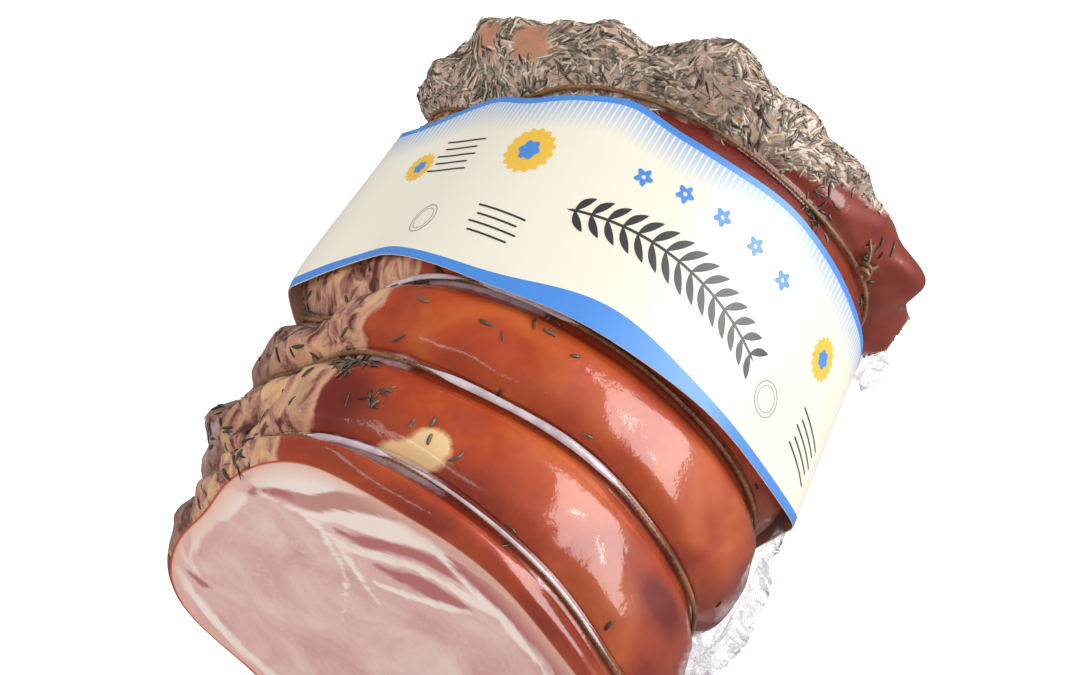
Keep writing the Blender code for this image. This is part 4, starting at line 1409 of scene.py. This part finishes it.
    def scatter(self, weight: Array, count: int, seed: int) -> tuple[Array, Array]:
        """Seeded spots on the skin, more where the weight and the cell's area are larger."""
        draw = np.random.default_rng(seed)
        grid = self.skin.grid
        around = np.roll(grid, -1, axis=1)[:-1] - grid[:-1]
        along = grid[1:] - grid[:-1]
        area = np.linalg.norm(np.cross(around, along), axis=-1)
        chance = (area * np.clip(weight[:-1], 0.0, None)).ravel()
        pick = draw.choice(len(chance), count, p=chance / chance.sum())
        rows = pick // self.skin.columns + draw.uniform(0.0, 1.0, count)
        columns = pick % self.skin.columns + draw.uniform(0.0, 1.0, count)
        return self.skin.at(rows, columns)

    def build(self) -> None:
        """Make the crust's needles, the seam's clumps and the loose ones."""
        skin = self.skin
        herb = DriedHerb().build()
        off_floor = smooth(0.001, 0.006, skin.grid[..., 2])
        crust = smooth(-2.0, 3.0, skin.crust) * smooth(0.55, 0.3, skin.bare) * off_floor
        shape, tone = self.needles(*self.scatter(crust, *self.crust_spots), self.on_crust)
        settle(shape.write("crust_rosemary", [herb], {"tone": tone}), Slot.RIND)
        shape, tone = self.needles(*self.scatter(crust, *self.flake_spots), self.flakes)
        settle(shape.write("crust_herb_flakes", [herb], {"tone": 0.25 + 0.75 * tone}), Slot.RIND)
        clear = smooth(0.0, -4.0, skin.crust) * off_floor
        seam = smooth(5.0, 10.0, skin.seam) * clear
        rind = smooth(0.0, -5.0, skin.seam) * clear * smooth(-0.120, -0.112, skin.stations)
        parts = (self.scatter(seam, *self.seam_spots), self.scatter(rind, *self.rind_spots),
                 self.cluster_spots())
        spots, normals = (np.concatenate(fields) for fields in zip(*parts))
        shape, tone = self.needles(spots, normals, self.loose)
        settle(shape.write("loose_rosemary", [herb], {"tone": 0.36 * tone}), Slot.RIND)

    def cluster_spots(self) -> tuple[Array, Array]:
        """Spots of the clumps and of the single needles, from their angles and stations."""
        draw = np.random.default_rng(self.cluster_seed)
        rows = []
        columns = []
        each = math.radians(1.0) * self.skin.form.lump_radius
        singles = tuple((angle, station, 0.0, 1) for angle, station in self.singles)
        for angle, station, spread, count in self.clusters + singles:
            for _ in range(count):
                row, column = self.skin.find(angle + draw.normal(0.0, spread) / each,
                                             station + draw.normal(0.0, spread))
                rows.append(row)
                columns.append(column)
        return self.skin.at(np.array(rows), np.array(columns))


@dataclass(frozen=True)
class Bindings:
    """The turns of twine in their grooves, the knot, and the set juice that covers parts.

    A juice run is a string's number, its first and last angle, and its half width.
    """

    form: RollForm
    rows: int = 1100
    sides: int = 12
    radius: float = 0.00075
    clearance: float = 0.0004
    pitch: float = 0.0048
    plies: int = 3
    ply_depth: float = 0.20
    juice_runs: tuple[tuple[int, float, float, float], ...] = (
        (0, -29.0, -6.0, 0.0011), (0, -8.0, 62.0, 0.0006), (1, -13.0, 43.0, 0.0013),
        (2, -44.0, -14.0, 0.0010), (2, -12.0, 14.0, 0.0011))
    juice_rows: int = 260
    juice_sides: int = 14
    juice_rise: float = 1.7
    juice_taper: float = 0.2
    juice_noise: tuple[float, int] = (0.009, 71)
    # The knot: its angle, its height over the groove, its loop and its two tails.
    knot_angle: float = 71.0
    knot_rise: float = 0.0036
    knot_radius: float = 0.0021
    knot_turns: float = 1.6
    knot_pitch: float = 0.0022
    knot_rows: int = 70
    tails: tuple[Pair, ...] = ((-1.0, 0.011), (1.0, 0.014))
    tail_rows: int = 40

    def ring_path(self, index: int, angles: Array, rise: float) -> Array:
        """Points of one turn, a rise above the groove's floor."""
        path = self.form.string_path(index, angles)
        radii = self.form.section(angles, self.form.groove_half_widths[index], path) + rise
        points = self.form.to_points(angles, radii, path)
        points[:, 2] = np.maximum(points[:, 2], self.radius + self.clearance)
        return points

    def add_string(self, index: int, twine: Material) -> None:
        """One closed turn of three-ply twine."""
        angles = np.arange(self.rows) * 360.0 / self.rows
        path = self.ring_path(index, angles, self.clearance + self.radius)
        turns = round(TAU * self.form.rim_half_width / self.pitch)
        twist = np.radians(angles) * turns * self.plies
        around = np.arange(-1, self.rows + 1) % self.rows
        rings = sweep(path[around], self.form.outward(angles)[around], np.full(self.rows + 2, self.radius),
                      self.sides, self.plies, self.ply_depth, twist[around])[1:-1]
        shape = Sculpt()
        shape.add_tube(rings, closed=True)
        name = f"string_{index + 1}"
        settle(shape.write(f"{name}_twine", [twine]), Slot.TWINE, name)

    def add_juice(self, juice: Material) -> None:
        """Flat beads of set juice along the grooves, tapered and uneven along their run."""
        shape = Sculpt()
        for index, start, end, half_width in self.juice_runs:
            angles = np.linspace(start, end, self.juice_rows)
            path = self.ring_path(index, angles, self.clearance + self.juice_rise * self.radius)
            share = np.linspace(0.0, 1.0, self.juice_rows)
            ends = smooth(0.0, self.juice_taper, share) * smooth(1.0, 1.0 - self.juice_taper, share)
            size, seed = self.juice_noise
            uneven = 1.0 + 0.14 * lattice_noise(path, size, seed + index, 2)
            width = half_width * (0.08 + 0.92 * ends) * uneven
            turns = np.arange(self.juice_sides) * TAU / self.juice_sides
            outward = self.form.outward(angles)
            along = unit(np.gradient(path, axis=0))
            side = unit(np.cross(along, outward))
            ring = (np.cos(turns)[None, :, None] * side[:, None] * width[:, None, None]
                    + np.sin(turns)[None, :, None] * outward[:, None]
                    * (0.25 * width + 0.0003)[:, None, None])
            shape.add_tube(path[:, None] + ring, closed=False)
        settle(shape.write("set_juice_in_grooves", [juice]), Slot.RIND)

    def add_knot(self, twine: Material) -> None:
        """A small overhand knot on the last string, with two tails that lie on the crust."""
        shape = Sculpt()
        last = len(self.form.string_stations) - 1
        centre = self.ring_path(last, np.array([self.knot_angle]), self.knot_rise)[0]
        out = self.form.outward(np.array([self.knot_angle]))[0]
        around = np.array([out[2], 0.0, -out[0]])
        forward = np.array([0.0, 1.0, 0.0])
        turn = np.linspace(0.0, TAU * self.knot_turns, self.knot_rows)
        circle = np.cos(turn)[:, None] * around + np.sin(turn)[:, None] * out
        climb = (turn / TAU * self.knot_pitch - 0.0018)[:, None] * forward
        loop = centre + self.knot_radius * circle + climb
        radii = np.full(len(turn), self.radius * 0.9)
        shape.add_tube(sweep(loop, np.tile(forward, (len(turn), 1)), radii, self.sides), False)
        for sign, reach in self.tails:
            share = np.linspace(0.0, 1.0, self.tail_rows)
            tail = (centre + (share * reach)[:, None] * (0.75 * forward + sign * 0.62 * around)
                    + (0.0016 * np.sin(share * 2.6) - 0.0012 * share)[:, None] * out)
            taper = self.radius * 0.85 * (1.0 - 0.25 * share)
            shape.add_tube(sweep(tail, np.tile(out, (self.tail_rows, 1)), taper, self.sides), False)
        settle(shape.write("twine_knot", [twine]), Slot.TWINE)

    def build(self) -> None:
        """Make every turn, the knot and the juice."""
        twine = ButcherTwine().build()
        for index in range(len(self.form.string_stations)):
            self.add_string(index, twine)
        self.add_knot(twine)
        self.add_juice(SetJuice().build())


@dataclass(frozen=True)
class PaperBand:
    """The printed paper band: a sleeve with blue borders and a generic printed design."""

    form: RollForm
    stations: Pair = (-0.0315, 0.044)
    wanders: tuple[Humps, Humps] = (
        ((0.0032, -43, 12), (-0.0045, -69, 12), (-0.0027, -6, 17), (0.013, 108, 22)),
        ((-0.0115, -66, 16), (-0.005, -26, 11), (0.0028, -1, 8), (0.0017, 40, 12), (-0.0017, 73, 14)),
    )
    half_near: float = 0.0916
    half_far: float = 0.0880
    swell: Humps = ((0.0025, 95, 30),)
    wall: float = 0.0004
    lift: float = 0.0004
    columns: int = 540
    rows: int = 60
    border_mm: float = 3.3
    border_swell: Humps = ((6.2, 18.0, 20.0),)
    ink_lift: float = 0.00004
    ink_wall: float = 0.00005
    # Low waves in the near edge: height, how many go round, and where they start.
    edge_wave: Triple = (0.0005, 9.0, 0.7)
    sharp: float = 50.0

    def surface(self, angles: Array, share: Array, rise: float) -> Array:
        """Points of the band's outer face.

        The station runs straight from the near edge to the far one, the half width shrinks
        the same way, and low waves lift the near edge.

        Args:
            angles: Degrees round the roll.
            share: 0 at the near edge, 1 at the far one.
            rise: Height above the outer face.

        Returns:
            Points of the shape of angles and share together.
        """
        near = self.stations[0] + wander(angles, self.wanders[0])
        far = self.stations[1] + wander(angles, self.wanders[1])
        half = self.half_near + share * (self.half_far - self.half_near)
        stations = near + share * (far - near)
        radii = self.form.section(angles, half, stations) + (1.0 - share) * wander(angles, self.swell)
        height, count, start = self.edge_wave
        wave = height * (1.0 - share) ** 2 * np.sin(np.radians(angles) * count + start)
        points = self.form.to_points(angles, radii + 0.5 * self.wall + wave + rise, stations)
        floor = self.lift + rise + self.wall
        points[..., 2] = np.maximum(points[..., 2], floor)
        return points

    def width_mm(self, angles: Array) -> Array:
        """The band's width at each angle."""
        far = self.stations[1] + wander(angles, self.wanders[1])
        return (far - self.stations[0] - wander(angles, self.wanders[0])) / MM

    def add_sleeve(self, paper: Material) -> Piece:
        """The closed sleeve with its label coordinates in millimetres."""
        angles = np.arange(self.columns) * 360.0 / self.columns - 180.0
        share = np.linspace(0.0, 1.0, self.rows)[:, None]
        turn = np.broadcast_to(angles, (self.rows, self.columns))
        outer = self.surface(turn, share + 0.0 * turn, 0.0)
        inner = self.surface(turn, share + 0.0 * turn, -self.wall)
        shape = Sculpt()
        top = shape.add_points(outer)
        bottom = shape.add_points(inner)
        shape.add_quads(top, wrap=True)
        shape.add_quads(bottom[::-1], wrap=True)
        shape.add_quads(np.stack([top[0], bottom[0]]), wrap=True)
        shape.add_quads(np.stack([top[-1], bottom[-1]]), wrap=True)
        width = self.width_mm(angles)
        near = share * width
        border = self.border_mm + wander(angles, self.border_swell)
        plain = np.full(near.size, 2.0 * width.max())
        values = {"near_mm": np.concatenate([near.ravel(), plain]),
                  "far_mm": np.concatenate([(width - near).ravel(), plain]),
                  "border": np.concatenate([(border + 0.0 * near).ravel(), 0.0 * plain])}
        sleeve = shape.write("label_sleeve", [paper], values, sharp=self.sharp)
        self.unwrap(sleeve.data)
        return sleeve

    def unwrap(self, mesh: bpy.types.Mesh) -> None:
        """Label coordinates: millimetres round the band, and millimetres along the roll."""
        points = np.empty(len(mesh.vertices) * 3, np.float32)
        mesh.vertices.foreach_get("co", points)
        corners = np.empty(len(mesh.loops), np.int32)
        mesh.loops.foreach_get("vertex_index", corners)
        points = points.reshape(-1, 3)[corners]
        turn = np.arctan2(points[:, 0] - self.form.roll_x, points[:, 2] - self.form.axis_height)
        starts = np.empty(len(mesh.polygons), np.int32)
        mesh.polygons.foreach_get("loop_start", starts)
        first = np.repeat(turn[starts], np.diff(np.append(starts, len(corners))))
        turn = np.where(turn - first > math.pi, turn - TAU, turn)
        turn = np.where(first - turn > math.pi, turn + TAU, turn)
        flat = np.stack([turn * self.half_near / MM, points[:, 1] / MM], axis=-1)
        layer = mesh.uv_layers.new(name="label")
        layer.data.foreach_set("uv", flat.astype(np.float32).ravel())

    def to_band(self, across: Array, along: Array, turn: float, middle: Pair,
                rise: float) -> Array:
        """Lay flat print on the band.

        Args:
            across: Millimetres round the band before the print is turned.
            along: Millimetres along the roll before the print is turned.
            turn: Degrees that the print is turned.
            middle: Angle and station, in degrees and millimetres, of the print's origin.
            rise: Height above the paper.

        Returns:
            Points on the band's face.
        """
        lean = math.radians(turn)
        u = across * math.cos(lean) - along * math.sin(lean)
        v = across * math.sin(lean) + along * math.cos(lean)
        angles = middle[0] + np.degrees(u * MM / self.half_near)
        near = self.stations[0] + wander(angles, self.wanders[0])
        share = ((middle[1] + v) - near / MM) / self.width_mm(angles)
        return self.surface(angles, share, rise)


class Stamp:
    """One ink's shapes, each a flat grid in millimetres laid on the band."""

    # Points along and across a shape, and the least share of its width at a tip.
    disc_steps: tuple[int, int] = (97, 6)
    bar_steps: tuple[int, int] = (41, 5)
    leaf_steps: tuple[int, int] = (25, 5)
    blunt: float = 0.004

    def __init__(self, band: PaperBand, layer: int) -> None:
        """Start with no shapes, in this layer of ink."""
        self.band = band
        self.layer = layer
        self.shape = Sculpt()

    def lay(self, u: Array, v: Array, middle: Pair, turn: float) -> None:
        """Add a grid of print as a thin closed plate."""
        base = self.band.ink_lift * self.layer
        top = self.band.to_band(u, v, turn, middle, base + self.band.ink_wall)
        bottom = self.band.to_band(u, v, turn, middle, base - self.band.ink_lift * 0.5)
        self.shape.add_slab(top, bottom)

    def disc(self, middle: Pair, inner: float, outer: float,
             petals: int = 0, wave: float = 0.0) -> None:
        """A disc or ring whose outer radius is R (1 + wave cos(petals a))."""
        angles = np.linspace(0.0, TAU, self.disc_steps[0])
        edge = outer * (1.0 + wave * np.cos(petals * angles))
        share = np.linspace(0.0, 1.0, self.disc_steps[1])[:, None]
        radius = inner + share * (edge - inner)
        self.lay(radius * np.cos(angles), radius * np.sin(angles), middle, 0.0)

    def bar(self, middle: Pair, length: float, height: float, turn: float,
            arch: float = 0.0) -> None:
        """A bar with round ends whose middle line is an arch of the given rise."""
        place = np.linspace(-1.0, 1.0, self.bar_steps[0])
        past = np.clip(((abs(place) - 1.0) * length + height) / height, 0.0, 1.0)
        half = 0.5 * height * np.sqrt(np.maximum(1.0 - past ** 2, 0.1 * self.blunt))
        side = np.linspace(-1.0, 1.0, self.bar_steps[1])[:, None]
        self.lay(place * length / 2 + 0.0 * side, side * half + arch * (1.0 - place ** 2), middle, turn)

    def leaf(self, middle: Pair, length: float, width: float, turn: float,
             bend: float = 0.0) -> None:
        """A pointed leaf: its half width is w sin(pi t)^0.8 along a bent middle line."""
        place = np.linspace(0.0, 1.0, self.leaf_steps[0])
        half = 0.5 * width * np.sin(math.pi * np.clip(place, self.blunt, 1.0 - self.blunt)) ** 0.8
        side = np.linspace(-1.0, 1.0, self.leaf_steps[1])[:, None]
        self.lay(place * length + 0.0 * side, side * half + bend * 4 * place * (1 - place), middle, turn)


@dataclass(frozen=True)
class LabelPrint:
    """A generic design for the label: a herb sprig, a sun rosette, plain rings and rules.

    A spot is an angle in degrees and a station in millimetres; other sizes are millimetres.
    """

    band: PaperBand
    # Each ink's layer on the paper and its colour.
    inks: tuple[tuple[str, int, str], ...] = (("charcoal", 1, "#3A3D3C"), ("yellow", 1, "#F6C544"),
                                              ("grey", 1, "#8C8F94"), ("blue", 3, "#4A8FE2"))
    # The sprig: its middle, half length, rise and lean, its pairs of leaves and their sizes.
    sprig_middle: Pair = (24.0, -3.0)
    sprig_half: float = 41.0
    sprig_rise: float = 7.0
    sprig_lean: float = -5.0
    pairs: int = 15
    leaf_lengths: Pair = (11.5, 3.4)
    leaf_width: float = 2.7
    leaf_bend: float = 0.6
    leaf_turns: Pair = (47.0, -57.0)
    suns: tuple[tuple[Pair, float], ...] = (
        ((-17.0, 17.0), 9.0), ((68.0, 17.0), 7.0), ((-52.0, 12.0), 6.0))
    blossoms: int = 5
    ring_spots: tuple[Pair, ...] = ((-34.0, -14.0), (57.0, -12.0))
    ring_radii: tuple[Pair, ...] = ((5.6, 5.9), (4.2, 4.4))
    # Rules: angle, station, how many, their length and their turn.
    rule_groups: tuple[tuple[float, float, int, float, float], ...] = (
        (-40.0, 22.0, 5, 26.0, -4.0), (-14.0, -8.0, 4, 20.0, -4.0), (76.0, -2.0, 5, 22.0, -8.0))
    rule_pitch: float = 3.3
    rule_height: float = 0.7

    def build(self) -> None:
        """Lay every shape, one piece for each ink."""
        stamps = {name: Stamp(self.band, layer) for name, layer, _ in self.inks}
        self.sprig(stamps["charcoal"])
        self.rosette(stamps)
        self.rings(stamps)
        self.rules(stamps["charcoal"])
        for name, _, tint in self.inks:
            ink = PrintInk(f"label_{name}", tint).build()
            piece = stamps[name].shape.write(f"label_print_{name}", [ink], sharp=self.band.sharp)
            settle(piece, Slot.PAPER)

    def sprig(self, ink: Stamp) -> None:
        """A long arched stem with paired leaves, across the band's front."""
        middle = self.sprig_middle
        lean = math.radians(self.sprig_lean)
        ink.bar(middle, 2.0 * self.sprig_half, 1.0, self.sprig_lean, arch=self.sprig_rise)
        for step in range(self.pairs):
            place = -1.0 + 2.0 * (step + 0.5) / self.pairs
            u = place * self.sprig_half
            v = self.sprig_rise * (1.0 - place ** 2)
            across = (u * math.cos(lean) - v * math.sin(lean)) * MM
            angle = middle[0] + math.degrees(across / self.band.half_near)
            station = middle[1] + u * math.sin(lean) + v * math.cos(lean)
            size = self.leaf_lengths[0] - self.leaf_lengths[1] * abs(place)
            for side, turn in zip((1.0, -1.0), self.leaf_turns):
                ink.leaf((angle, station), size, self.leaf_width, turn - 12.0 * place, side * self.leaf_bend)

    def rosette(self, stamps: dict[str, Stamp]) -> None:
        """Yellow suns with scalloped edges and a plain blue heart."""
        for spot, size in self.suns:
            stamps["yellow"].disc(spot, 0.05, size, petals=16, wave=0.07)
            stamps["blue"].disc(spot, 0.05, 0.42 * size, petals=6, wave=0.12)

    def rings(self, stamps: dict[str, Stamp]) -> None:
        """A row of small blue blossoms over the sprig, and two plain double rings."""
        for place in np.linspace(-1.0, 1.0, self.blossoms):
            spot = (28.0 + 19.0 * place, 26.0 - 3.0 * place ** 2)
            stamps["blue"].disc(spot, 0.8, 2.7, petals=5, wave=0.28)
        for spot in self.ring_spots:
            for inner, outer in self.ring_radii:
                stamps["grey"].disc(spot, inner, outer)

    def rules(self, ink: Stamp) -> None:
        """Groups of plain thin rules, every second one shorter."""
        for angle, station, count, length, turn in self.rule_groups:
            for row in range(count):
                shrink = 1.0 - 0.16 * (row % 2)
                ink.bar((angle, station - self.rule_pitch * row), length * shrink, self.rule_height, turn)


@dataclass(frozen=True)
class FilmStrip:
    """A sealed edge: angle, run along the roll, width at its ends and middle, own node or not."""

    name: str
    angle: float
    start: float
    end: float
    width: float
    fan: float
    node: bool = True


@dataclass(frozen=True)
class FilmEdges:
    """The sealed film edges: thin crinkled sheets that stand off the sides of the roll."""

    form: RollForm
    skin: Skin
    wall: float = 0.00010
    clearance: float = 0.0009
    watch_angle: float = 9.0
    watch_length: float = 0.010
    strips: tuple[FilmStrip, ...] = (
        FilmStrip("film_edge_right", 124.0, -0.102, -0.024, 0.010, 0.0130),
        FilmStrip("film_edge_far", 122.0, 0.062, 0.082, 0.009, 0.0105),
        FilmStrip("film_edge_left", -120.0, -0.122, -0.060, 0.010, 0.0130),
        FilmStrip("film_flap", 103.0, -0.106, -0.018, 0.004, 0.0085, node=False),
    )
    step: float = 0.00035
    columns: int = 22
    # Lattice size and seed of the torn rim, the broad and fine creases and the rim's waver.
    torn_noise: tuple[float, int] = (0.006, 81)
    crease_noise: tuple[float, int] = (0.0052, 83)
    fine_noise: tuple[float, int] = (0.0016, 85)
    rim_noise: tuple[float, int] = (0.003, 87)
    # How far creases, the long wave and the rim's waver move the sheet, and the wave's length.
    crease_sway: float = 0.0015
    wave_sway: float = 0.0019
    rim_sway: float = 0.0006
    wave_length: float = 0.019

    def root_radius(self, angle: float, stations: Array) -> Array:
        """The largest radius of the skin near the angle, at each station."""
        aside = abs(turn_between(self.skin.angles, angle)) < self.watch_angle
        grid = self.skin.grid[:, aside]
        radii = np.hypot(grid[..., 0] - self.form.roll_x, grid[..., 2] - self.form.axis_height)
        place = grid[..., 1] - self.form.roll_y
        near = abs(place[None] - stations[:, None, None]) < self.watch_length
        return np.where(near, radii[None], 0.0).max(axis=(1, 2)) + self.clearance

    def add_edge(self, strip: FilmStrip, film: Material) -> None:
        """One edge: creases fan outwards from the roll, and the rim is torn uneven."""
        steps = int((strip.end - strip.start) / self.step)
        stations = np.linspace(strip.start, strip.end, steps)
        share = np.linspace(0.0, 1.0, self.columns)
        root = self.root_radius(strip.angle, stations)[:, None]
        reach = strip.width + (strip.fan - strip.width) * np.sin(np.pi * np.linspace(0, 1, steps))
        line = np.stack([stations, 0.0 * stations, 0.0 * stations], axis=-1)
        reach = reach * (1.0 + 0.12 * lattice_noise(line, *self.torn_noise, 2))
        flow = stations[:, None] + 0.0025 * share * np.sin(stations[:, None] * 700.0)
        field = np.stack([flow, 0.004 * share + 0.0 * flow, 0.0 * flow], axis=-1)
        crease = 1.0 - 2.0 * abs(lattice_noise(field, *self.crease_noise, 2))
        crease = crease + 0.5 * lattice_noise(field, *self.fine_noise)
        wave = np.sin(stations * TAU / self.wave_length)[:, None]
        sway = share * (self.crease_sway * crease + self.wave_sway * wave)
        turned = np.degrees(sway / root) + strip.angle
        radii = root + share * reach[:, None]
        radii = radii + self.rim_sway * share * lattice_noise(field, *self.rim_noise)
        top = self.form.to_points(turned, radii, stations[:, None] + 0.0 * radii)
        across = self.form.outward(turned + 90.0)
        shape = Sculpt()
        shape.add_slab(top, top - self.wall * across)
        nodes = (strip.name,) if strip.node else ()
        settle(shape.write(f"{strip.name}_sheet", [film]), Slot.FILM, *nodes)

    def build(self) -> None:
        """Make every sealed edge."""
        film = ClearFilm().build()
        for strip in self.strips:
            self.add_edge(strip, film)


@dataclass(frozen=True)
class SoftBox:
    """A rectangular light: its direction and distance, size and watts, mirrored or only lighting."""

    name: str
    direction: Triple
    reach: float
    size: Pair
    watts: float
    mirrored: bool


@dataclass(frozen=True)
class Studio:
    """A white sweep, soft boxes and the camera at the photograph's angle."""

    target: Triple = (-0.0117, 0.0221, 0.0801)
    elevation: float = 61.0
    azimuth: float = 28.0
    distance: float = 0.750
    lens: float = 74.25
    sensor: float = 36.0
    floor_reach: float = 3.0
    floor_drop: float = 0.0002
    # The white all round: its strength as light, and as seen in reflections.
    room_light: float = 0.58
    room_mirrored: float = 0.12
    boxes: tuple[SoftBox, ...] = (
        SoftBox("key_box", (0.76, 0.22, 0.48), 0.95, (1.10, 0.70), 13.6, True),
        SoftBox("key_core", (0.73, 0.18, 0.57), 0.90, (0.13, 0.06), 0.36, True),
        SoftBox("front_strip", (-0.30, -0.62, 0.72), 0.95, (0.6, 0.12), 0.70, True),
        SoftBox("key_light", (0.73, 0.43, 0.54), 1.0, (0.5, 0.5), 4.6, False),
        SoftBox("left_fill", (-0.8, -0.5, 0.9), 1.4, (1.0, 1.0), 6.0, False),
        SoftBox("back_fill", (0.2, 1.0, 0.5), 1.3, (0.9, 0.6), 5.0, False),
    )

    def add_camera(self) -> None:
        """A camera that looks at the target from its elevation and azimuth."""
        rise = math.radians(self.elevation)
        turn = math.radians(self.azimuth)
        back = Vector((math.sin(turn) * math.cos(rise), -math.cos(turn) * math.cos(rise), math.sin(rise)))
        data = bpy.data.cameras.new("camera")
        data.sensor_width = self.sensor
        data.lens = self.lens
        camera = bpy.data.objects.new("camera", data)
        camera.location = Vector(self.target) + self.distance * back
        camera.rotation_euler = back.to_track_quat("Z", "Y").to_euler()
        bpy.context.scene.collection.objects.link(camera)
        bpy.context.scene.camera = camera

    def add_box(self, box: SoftBox) -> None:
        """A soft box that faces the target: seen in reflections, or only lights."""
        data = bpy.data.lights.new(box.name, "AREA")
        data.shape = "RECTANGLE"
        data.size, data.size_y = box.size
        data.energy = box.watts
        lamp = bpy.data.objects.new(box.name, data)
        away = Vector(box.direction).normalized()
        lamp.location = Vector(self.target) + box.reach * away
        lamp.rotation_euler = away.to_track_quat("Z", "Y").to_euler()
        lamp.visible_glossy = box.mirrored
        lamp.visible_diffuse = not box.mirrored
        bpy.context.scene.collection.objects.link(lamp)

    def add_floor(self) -> None:
        """A wide flat sheet just under the roast."""
        reach = self.floor_reach
        mesh = bpy.data.meshes.new("studio_floor")
        signs = ((-1, -1), (1, -1), (1, 1), (-1, 1))
        corners = [(x * reach, y * reach, -self.floor_drop) for x, y in signs]
        mesh.from_pydata(corners, [], [(0, 1, 2, 3)])
        mesh.materials.append(StudioSweep().build())
        floor = bpy.data.objects.new("studio_floor", mesh)
        bpy.context.scene.collection.objects.link(floor)
        floor.visible_glossy = False

    def add_world(self) -> None:
        """White all round for diffuse light, but a dim room in the reflections."""
        world = bpy.data.worlds.new("studio")
        world.use_nodes = True
        tree = world.node_tree
        background = tree.nodes["Background"]
        path = tree.nodes.new("ShaderNodeLightPath")
        level = tree.nodes.new("ShaderNodeMapRange")
        level.inputs["To Min"].default_value = self.room_light
        level.inputs["To Max"].default_value = self.room_mirrored
        tree.links.new(path.outputs["Is Glossy Ray"], level.inputs["Value"])
        tree.links.new(level.outputs["Result"], background.inputs["Strength"])
        background.inputs["Color"].default_value = (1.0, 1.0, 1.0, 1.0)
        bpy.context.scene.world = world

    def build(self) -> None:
        """Set up the camera, the lights and the plain colour rendering."""
        self.add_camera()
        self.add_floor()
        self.add_world()
        for box in self.boxes:
            self.add_box(box)
        bpy.context.scene.view_settings.view_transform = "Standard"


def main() -> None:
    """Build every sub-assembly in order."""
    logging.basicConfig(level=logging.INFO, format="%(name)s: %(message)s")
    form = RollForm()
    skin = Skin(form, columns=384, factor=6)
    Roast(form, skin, Tissues(form)).build()
    Herbs(skin).build()
    Bindings(form).build()
    band = PaperBand(form)
    settle(band.add_sleeve(CoatedPaper().build()), Slot.PAPER, "paper_band")
    LabelPrint(band).build()
    FilmEdges(form, skin).build()
    Studio().build()


if __name__ == "__main__":
    main()
